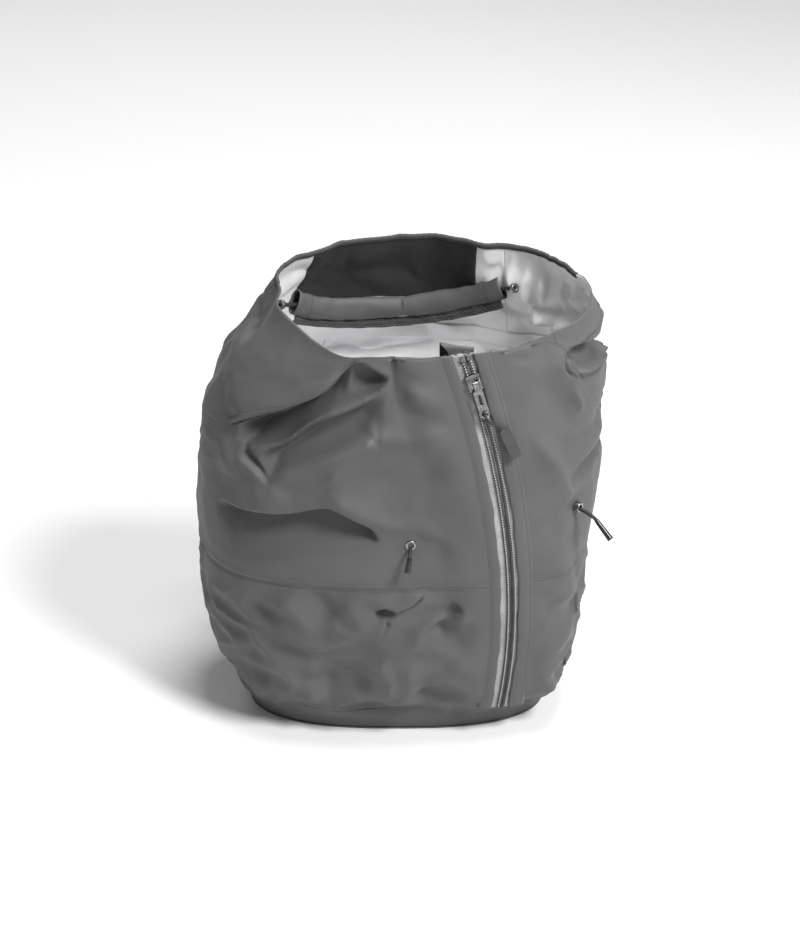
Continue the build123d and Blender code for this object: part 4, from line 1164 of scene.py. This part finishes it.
def zip_tape(point, length, sign, size=1.0, outer_edge=TAPE_OUT, ragged=0.0):
    """One side's woven tape; a ragged one has a cut, slanted upper end."""
    across = sign * np.linspace(TAPE_IN * size, outer_edge, TAPE_POINTS)
    along = np.linspace(0, length, max(20, int(length / 1.5)))
    down = np.broadcast_to(along[:, None], (len(along), TAPE_POINTS)).copy()
    if ragged:
        down += TAPE_SLANT * across * (1 - smooth_step(along, 0, 40))[:, None]
        down[0] += rng.uniform(-ragged, ragged * 0.4, TAPE_POINTS)
    ripple = 0.12 * np.sin(along / 3.1)[:, None] * smooth_step(np.abs(across), 5 * size, outer_edge)[None, :]
    grid = point(np.broadcast_to(across, down.shape), ripple, down)
    made = add_grid("tape", grid if sign < 0 else grid[:, ::-1], zip_tape_cloth)
    return thicken(made, 0.5 * size, offset=0.0)


def zip_coil(point, length, sign, size=1.0, pitch=1.35):
    """Monofilament wound in flattened turns along one tape's edge."""
    t = np.arange(int(length / pitch) * 12) / 12
    across = sign * (COIL_MIDDLE + COIL_REACH * np.cos(FULL_TURN * t)) * size
    out_by = (COIL_RISE + COIL_HIGH * np.sin(FULL_TURN * t)) * size
    return tube("coil", point(across, out_by, t * pitch + 0.3), 0.3 * size, zip_coil_plastic)


def chain_stitches(point, length, sign, size=1.0):
    """The row of stitches that holds one coil to its tape."""
    begin = np.arange(1.0, length - 2, 1.9 * size)
    starts, ends = (point(sign * 2.4 * size, 1.95 * size, begin + more) for more in (0, 0.9 * size))
    out_way = unit(point(0, 1, begin) - point(0, 0, begin))
    return beads("stitches", starts, ends, out_way, 0.52 * size, stitch_thread, 0.75)


def merge(name, things):
    """Joins meshes that belong to one piece, with their modifiers' shape applied."""
    bpy.context.view_layer.update()
    graph = bpy.context.evaluated_depsgraph_get()
    points, faces, materials, indices = [], [], [], []
    for thing in things:
        shape = thing.evaluated_get(graph).to_mesh()
        base = len(points)
        points += [tuple(np.array(v.co) / MM) for v in shape.vertices]
        for m in thing.data.materials:
            if m not in materials:
                materials.append(m)
        for polygon in shape.polygons:
            faces.append([base + v for v in polygon.vertices])
            indices.append(materials.index(thing.data.materials[polygon.material_index]))
        thing.evaluated_get(graph).to_mesh_clear()
    for thing in things:
        bpy.data.objects.remove(thing)
    made = add_mesh(name, points, faces, materials)
    made.data.polygons.foreach_set("material_index", indices)
    return made


for side, sign in SIDES:
    tape = merge(f"zip_tape_cloth_{side}", [zip_tape(front_zip_point, FRONT_LENGTH, sign, ragged=1.2),
                                            zip_tape(back_zip_point, back_zip_length, sign)])
    place(tape, "zip_tape", f"zip_tape_{side}")
    coil = merge(f"zip_coil_turns_{side}", [zip_coil(front_zip_point, FRONT_LENGTH, sign),
                                            zip_coil(back_zip_point, back_zip_length - 14, sign)])
    place(coil, "zip_coil", f"zip_coil_{side}")
    place(merge(f"zip_stitches_{side}", [chain_stitches(front_zip_point, FRONT_LENGTH, sign),
                                         chain_stitches(back_zip_point, back_zip_length, sign)]), "zip_tape")

# folded fabric edge along each side of the front zip, stitched down at its outer edge
FACING_EDGE = {-1: 7.6, 1: 4.8}
FACING_SEAM = 13.2
for side, sign in SIDES:
    inner_edge = FACING_EDGE[sign]
    along = np.linspace(-0.5, FRONT_LENGTH - 0.4, 240)[:, None]
    sway = 0.35 * np.sin(along / 9.0 + sign) + 0.2 * np.sin(along / 3.7)
    profile = np.array([(17.0, -0.6), (15.6, 0.5), (FACING_SEAM + 0.9, 1.35), (FACING_SEAM, 1.3),
                        (FACING_SEAM - 1.0, 1.6), (11.0, 1.9), (9.0, 2.0), (inner_edge + 1.2, 1.95),
                        (inner_edge + 0.3, 1.8), (inner_edge, 1.35), (inner_edge + 0.25, 0.95),
                        (inner_edge + 1.0, 0.75)])
    facing_across, facing_out = profile.T
    across_line = facing_across + sway * np.exp(-((facing_across - inner_edge) / 3.0) ** 2)
    level = TAPE_SLANT * sign * across_line * (1 - smooth_step(along, 0, 40))
    facing_grid = front_zip_point(sign * across_line, facing_out, along + level)[:, ::sign]
    facing = add_grid(f"zip_facing_edge_{side}", facing_grid, shell_cloth)
    thicken(facing, 0.45, offset=0.0)
    place(facing, "shell_fabric", f"zip_facing_{side}")
    seam_along = np.arange(0, FRONT_LENGTH - 6, 0.6)
    rows = []
    out_way = unit(front_zip_point(0, 1, seam_along) - front_zip_point(0, 0, seam_along))
    for at, out_by in ((FACING_SEAM + 0.05, 1.55), (inner_edge + 1.7, 2.1)):
        rows.append(stitch_row(front_zip_point(sign * at, out_by, seam_along), out_way, 2.5, 1.7, 0.12))
    place(beads(f"facing_stitches_{side}", *joined(rows), 0.2, dark_thread), "shell_fabric")

# frayed threads at the tapes' upper ends
threads = []
for sign in (-1, 1):
    for at in np.linspace(1.2, 7.0 if sign < 0 else 3.6, 10):
        long = rng.uniform(1.0, 3.2)
        sway = rng.uniform(-0.7, 0.7)
        down = np.linspace(0.6, -long, 6)
        threads.append(tube("thread", front_zip_point(sign * at + sway * (0.6 - down) / 3, 0.1 * (0.6 - down),
                                                      down + TAPE_SLANT * sign * at), 0.1, zip_tape_cloth))
place(merge("tape_end_threads", threads), "zip_tape")

# pocket zip on the folded lower body
def pocket_tape_point(across, out, along):
    return pocket_point(across, out, along - POCKET_TAPE_PAST)


pocket_tape_length = pocket_length + 2 * POCKET_TAPE_PAST
pocket_tape = merge("pocket_zip_tape_cloth", [
    zip_tape(pocket_tape_point, pocket_tape_length, sign, POCKET_SIZE, POCKET_TAPE_HALF)
    for _, sign in SIDES])
place(pocket_tape, "zip_tape", "pocket_zip_tapes")
place(merge("pocket_zip_coil_turns", [zip_coil(pocket_point, pocket_length, sign, POCKET_SIZE, 1.0)
                                      for _, sign in SIDES]), "zip_coil", "pocket_zip_coils")
place(merge("pocket_zip_stitches", [chain_stitches(pocket_point, pocket_length, sign, POCKET_SIZE)
                                    for _, sign in SIDES]), "zip_tape")


# ------------------------------------------------------------------ hard parts
def softened(node_name, finish, width):
    """The CAD solid's shape with its edges rounded over by a width in millimetres."""
    source = frame["nodes"][node_name]
    mesh = source.data.copy()
    mesh.materials.clear()
    mesh.materials.append(FINISHES[finish])
    mesh.polygons.foreach_set("use_smooth", [True] * len(mesh.polygons))
    thing = bpy.data.objects.new(f"{node_name}_finished", mesh)
    bpy.context.scene.collection.objects.link(thing)
    weld = thing.modifiers.new("weld", "WELD")
    weld.merge_threshold = 0.00001
    rounding = thing.modifiers.new("rounding", "BEVEL")
    rounding.width = width * MM
    rounding.segments = 2
    rounding.limit_method = "ANGLE"
    rounding.angle_limit = math.radians(40)
    even = thing.modifiers.new("even", "WEIGHTED_NORMAL")
    even.keep_sharp = True
    return place(thing, finish, node_name, body=source["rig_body"])


FINISHES = {"gunmetal": gunmetal, "eyelet_metal": eyelet_metal, "black_plastic": black_plastic,
            "moulded_grey": moulded_grey, "black_rubber": black_rubber}
# finish and edge rounding of each hard piece
HARD = {"zip_slider": ("gunmetal", 0.2), "zip_puller": ("gunmetal", 0.3), "pull_tab": ("moulded_grey", 0.8),
        "zip_top_stops": ("gunmetal", 0.2),
        "zip_box": ("black_plastic", 0.4), "zip_pin": ("black_plastic", 0.4),
        "pocket_slider": ("gunmetal", 0.15), "pocket_puller": ("gunmetal", 0.2),
        "face_cord_eyelets": ("eyelet_metal", 0.5), "halo_eyelets": ("eyelet_metal", 0.4),
        "face_cord_end_left": ("black_rubber", 0.5), "face_cord_end_right": ("black_rubber", 0.5),
        "hem_lock_left": ("black_plastic", 0.5), "hem_lock_right": ("black_plastic", 0.5),
        "hem_lock_button_left": ("black_plastic", 0.5), "hem_lock_button_right": ("black_plastic", 0.5)}
hard = {name: softened(name, finish, width) for name, (finish, width) in HARD.items()}
for name in ("hem_lock_spring_left", "hem_lock_spring_right"):
    spring = frame["nodes"][name]
    spring.data.materials.clear()
    spring.data.materials.append(spring_steel)

# ------------------------------------------------------------------ face-cord pulls
CORD_RADIUS = 1.25
# each cord's route, from inside the chest to its end, and the point where it leaves the eyelet
FACE_CORDS = {
    "left": ([(6.28, -74.31, 170), (7.144, -103.098, 170), (6.244, -103.998, 163.5)], (7, -98.3, 170)),
    "right": ([(99.3, -51.6, 180), (124.5, -70.5, 180), (129.1, -73.9, 174.8)], (118.5, -66, 180))}
for side, (route, leaves) in FACE_CORDS.items():
    cord = soft_cord(f"face_cord_line_{side}", route, CORD_RADIUS, black_cord)
    place(cord, "black_cord", f"face_cord_{side}", body=f"face_pull_{side}")


# ------------------------------------------------------------------ the zip pull's cord
# places are across, out and down from the slider; the cord turns round the bar of the puller's hole
PIN_HEIGHT, HOLE_BAR_Z, TURN_R = 5.8, 23.2, 2.05
TAB_OFFSET, TAB_TOP, TAB_Y = 8.5, 35.5, 4.6
front_y, back_y = PIN_HEIGHT + TURN_R, PIN_HEIGHT - TURN_R
PULL_ROUTE = np.array([(TAB_OFFSET, TAB_Y + 0.8, TAB_TOP + 1.2), (6.3, 6.6, 32.8), (3.2, 7.5, 29.6),
                       (0.9, front_y, HOLE_BAR_Z + 3.2), (0, front_y, HOLE_BAR_Z - 0.9),
                       (0, PIN_HEIGHT, HOLE_BAR_Z - TURN_R - 0.4), (0, back_y, HOLE_BAR_Z - 0.9),
                       (0.9, back_y, HOLE_BAR_Z + 3.2), (3.2, 3.6, 29.6), (6.3, 3.5, 32.8),
                       (TAB_OFFSET, TAB_Y - 0.8, TAB_TOP + 1.2)])
pull_route = zip_point(PULL_ROUTE[:, 0], PULL_ROUTE[:, 1], SLIDER_UP - PULL_ROUTE[:, 2])
PULL_CORD_RADIUS = 0.75
pull_loop = soft_cord("pull_cord_line", pull_route, PULL_CORD_RADIUS, black_cord)
place(pull_loop, "black_cord", "pull_cord_loop", body="pull_tab_body")

# ------------------------------------------------------------------ zip garage: a small folded flap
garage_low, garage_high = (np.array(corner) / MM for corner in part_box("zip_garage"))
flap_share = np.linspace(0, 1, 30)
flap_x = garage_low[0] + 3.5 + (garage_high[0] - garage_low[0] + 6.0) * flap_share
flap_rim = catmull(RIM, 12, closed=True)
front_rim = flap_rim[flap_rim[:, 1] < -60]
rim_x, rim_y, rim_z = front_rim[np.argsort(front_rim[:, 0])].T
flap_rise = garage_high[2] - 306.4 - 2.6 * flap_share
flap_open = 4.6 * (1 - 0.72 * smooth_step(flap_share, 0, 0.6))
# front layer, fold and back layer: share of the depth, then share of the rise (or millimetres, below the rim)
FLAP_SECTION = [(0.0, -9.0), (0.0, -3.0), (0.0, 0.1), (0.05, 0.5), (0.15, 0.85), (0.5, 1.0), (0.85, 0.85),
                (1.0, 0.3), (1.0, -3.0), (0.95, -9.0)]
flap_rows = []
for share_deep, share_rise in FLAP_SECTION:
    cut_back = 5.5 * (share_deep < 0.5) * (1 - min(max(share_rise, 0), 1)) * (1 - flap_share)
    flap_at = flap_x + cut_back
    rise = flap_rise * share_rise if share_rise > 0 else share_rise
    flap_rows.append(np.stack([flap_at, np.interp(flap_at, rim_x, rim_y) + 1.9 + share_deep * flap_open,
                               np.interp(flap_at, rim_x, rim_z) + rise], -1))
# the flap's inside takes the darker lining cloth as painted shade, so its opening reads dark
garage = add_grid("zip_garage_flap", np.stack(flap_rows), [shell_cloth, dark_lining])
thicken(garage, 0.8, offset=0.0, inner_slot=1)
place(garage, "shell_fabric", "zip_garage")

# ------------------------------------------------------------------ back: sleeves and cuffs
SLEEVE_X, SLEEVE_Y, SLEEVE_HALF, SLEEVE_DEEP = (-52.0, 52.0), 71.0, 45.5, 4.4
SLEEVE_Z, CUFF_TOP, CUFF_Y, CUFF_HALF, CUFF_DEEP = (15.0, 196.5), 261.5, 68.0, 32.5, 5.3


FLAT_TUBE_SIDES = 96


def flat_tube(name, x, y, half_x, half_y, z_values, wrinkle):
    """A flattened tube of cloth standing upright, open at both ends; half sizes may change up the tube."""
    turn_at = full_turn(FLAT_TUBE_SIDES)
    c, s = np.cos(turn_at), np.sin(turn_at)
    half_x, half_y = (np.broadcast_to(half, len(z_values))[:, None] for half in (half_x, half_y))
    x_at = x + half_x * signed_power(c, 0.45)
    y_at = y + half_y * signed_power(s, 0.6) + wrinkle * signed_power(s, 0.5)
    grid = np.stack(np.broadcast_arrays(x_at, y_at, z_values[:, None]), -1)
    return add_grid(name, grid, [shell_cloth, laminate], wrap_columns=True)


sleeve_rows = np.linspace(*SLEEVE_Z, 130)
cuff_rows = np.linspace(SLEEVE_Z[1] - 0.4, CUFF_TOP, 52)
bottom_open = 0.12 + 0.88 * smooth_step(sleeve_rows, SLEEVE_Z[0], SLEEVE_Z[0] + 5)
sleeve_half = SLEEVE_HALF - (SLEEVE_HALF - CUFF_HALF) * smooth_step(sleeve_rows, 180, SLEEVE_Z[1])
gather = 0.35 * np.sin(full_turn(FLAT_TUBE_SIDES) * 26) * (1 - smooth_step(cuff_rows, 214, 232))[:, None]
cuff_seam = 0.35 * np.exp(-((cuff_rows - (CUFF_TOP - 12)) / 0.9) ** 2)[:, None]
seam_x = np.linspace(-CUFF_HALF + 4, CUFF_HALF - 4, 60)
for (side, sign), x in zip(SIDES, SLEEVE_X):
    wrinkle = waves((len(sleeve_rows), FLAT_TUBE_SIDES), [(5, 9), (2.5, 4)], [0.9, 0.4])
    sleeve = flat_tube(f"sleeve_cloth_{side}", x, SLEEVE_Y - 0.4, sleeve_half,
                       SLEEVE_DEEP * bottom_open - 0.2, sleeve_rows, 0.8 * np.minimum(wrinkle, 0.25))
    thicken(sleeve, 0.8, inner_slot=1)
    place(sleeve, "shell_fabric", f"sleeve_{side}")
    cuff = flat_tube(f"cuff_cloth_{side}", x, CUFF_Y, CUFF_HALF, CUFF_DEEP - 0.3, cuff_rows,
                     np.minimum(gather, 0.2) - cuff_seam)
    thicken(cuff, 1.0, inner_slot=1)
    place(cuff, "shell_fabric", f"cuff_{side}")
    line = np.stack(np.broadcast_arrays(x + seam_x, CUFF_Y + CUFF_DEEP - 0.1, CUFF_TOP - 11), -1)
    stitches = stitch_row(line, np.tile((0.0, 1.0, 0.0), (len(line), 1)), 2.6, 1.7, 0.05)
    place(beads(f"cuff_stitches_{side}", *stitches, 0.2, dark_thread), "shell_fabric")

# hook tabs and the loop patches they close on
FACE_Y, TAB_HALF, PATCH_HALF = 73.5, 23.0, 26.0


def rounded_plate(name, x_range, z_range, y_low, y_high, corner, material, bumps):
    """Plate with rounded corners facing +Y; bumps moulds a pattern into its face."""
    turn_at = full_turn(48)
    middle_x, middle_z = np.mean(x_range), np.mean(z_range)
    half_x, half_z = np.ptp(x_range) / 2, np.ptp(z_range) / 2
    power = 2 / (2 + 0.9 * min(half_x, half_z) / corner)
    edge_x = half_x * signed_power(np.cos(turn_at), power)
    edge_z = half_z * signed_power(np.sin(turn_at), power)
    face = [(share, y_high) for share in np.linspace(0.03, 0.9, 16)] + [(0.96, y_high)]
    rim = [(0.99, y_high - 0.12), (1.0, y_high - 0.4), (1.0, y_low + 0.15), (0.98, y_low), (0.03, y_low)]
    rings = []
    for share, y in face + rim:
        px, pz = edge_x * share, edge_z * share
        pattern = bumps(px, pz) * (share < 0.95 and y == y_high)
        rings.append(np.stack([middle_x + px, y + pattern, middle_z + pz], -1))
    return add_grid(name, np.array(rings), material, wrap_columns=True)


for (side, sign), x in zip(SIDES, SLEEVE_X):
    loops = rounded_plate(f"loop_patch_{side}", (x - PATCH_HALF, x + PATCH_HALF), (229, 249), FACE_Y + 0.05,
                          FACE_Y + 0.95, 2.0, dark_lining, lambda px, pz: 0 * px)
    place(loops, "dark_lining", *(["cuff_loop_patches"] if side == "left" else []))
    tab_x = x - sign * 2
    hook = rounded_plate(f"cuff_hook_tab_{side}", (tab_x - TAB_HALF, tab_x + TAB_HALF), (228.2, 249.8),
                         FACE_Y + 1.35, FACE_Y + 3.0, 4.0, moulded_grey,
                         lambda px, pz: 0.14 * (np.sin(px * 2.4) > 0.2) * (np.abs(pz) < 7) * (px * sign < 12))
    place(hook, "moulded_grey", f"cuff_tab_{side}", body=f"cuff_hook_{side}")

# ------------------------------------------------------------------ back: folded lower body and hem
LOWER_X, LOWER_Z, HEM_Z = (-107.5, 111.5), (15.0, 202.6), (203.6, 221.6)
ZIP_CHANNEL = 15.6
FOLDED_Y, CORNER = 81.0, 16.0


def line_x(ends, z):
    """x of a straight zip at a height, from its two ends."""
    (low_x, _, low_z), (high_x, _, high_z) = ends
    return low_x + (high_x - low_x) * (z - low_z) / (high_z - low_z)


def edge_rounding(z, low, high):
    """How far the outer side edge is drawn in near its rounded corners."""
    near = np.clip(np.minimum(z - low, high - z), 0, CORNER)
    return CORNER - np.sqrt(CORNER ** 2 - (CORNER - near) ** 2)


def side_grid(side, z_line, drawn_in):
    """x and z grids of one side of the folded body, from its outer edge to the zip's channel."""
    at_zip = line_x(BACK_ZIP, z_line)
    start = LOWER_X[0] + drawn_in if side == "left" else at_zip + ZIP_CHANNEL
    end = at_zip - ZIP_CHANNEL if side == "left" else LOWER_X[1] - drawn_in
    x = start[:, None] + (end - start)[:, None] * np.linspace(0, 1, 150 if side == "left" else 60)
    return np.broadcast_arrays(x, z_line[:, None])


for side, _ in SIDES:
    z_line = np.linspace(*LOWER_Z, 150)
    x, z = side_grid(side, z_line, edge_rounding(z_line, *LOWER_Z))
    folds = np.minimum(waves(x.shape, [(12, 8), (5, 4)], [2.2, 0.9], wrap=False), 0.35)
    folds = folds - 0.7 * np.exp(-((z - 196) / 1.2) ** 2)
    groove = None
    if side == "left":                                   # a sunk strip for the pocket zip
        beside = smooth_step(np.abs(x - line_x(POCKET_ZIP, z)), 8.9, 10.2)
        past_end = smooth_step(np.abs(z - 111), 76.5, 78)
        groove = 82.1 + 5 * np.maximum(beside, past_end)
    body_piece = pillow(f"lower_body_cloth_{side}", x, z, FOLDED_Y, 4.7, 5.0, folds, shell_cloth, groove)
    place(body_piece, "shell_fabric", f"lower_body_{side}")
    x, z = side_grid(side, np.linspace(*HEM_Z, 24), np.zeros(24))
    gathers = 0.35 * np.sin(x * 0.9 + 1.5 * np.sin(x * 0.21)) - 0.45 * np.exp(-((z - 206.5) / 0.7) ** 2)
    gathers = np.minimum(gathers, 0.3)
    hem_piece = pillow(f"hem_band_cloth_{side}", x, z, FOLDED_Y, 5.4, 5.0, gathers, shell_cloth)
    place(hem_piece, "shell_fabric", f"hem_band_{side}")

HEM_CORD_Z, HEM_SPACING = 212.65, 5.0
low_z, high_z = HEM_CORD_Z - HEM_SPACING / 2, HEM_CORD_Z + HEM_SPACING / 2
# out from inside the hem, round, and back in again: (reach past 1 mm outside the hem's end, height)
HEM_ROUTE = [(-20, low_z), (-8, low_z), (6, low_z), (16, low_z), (19.4, low_z + 0.3), (19.4, high_z - 0.3),
             (16, high_z), (6, high_z), (-8, high_z), (-20, high_z)]
for (side, sign), hem_end in zip(SIDES, LOWER_X):
    route = [(hem_end + sign * (1 + reach), FOLDED_Y, z) for reach, z in HEM_ROUTE]
    loop = soft_cord(f"hem_cord_loop_{side}", route, CORD_RADIUS, black_cord)
    place(loop, "black_cord", f"hem_cord_{side}", body=f"hem_loop_{side}")
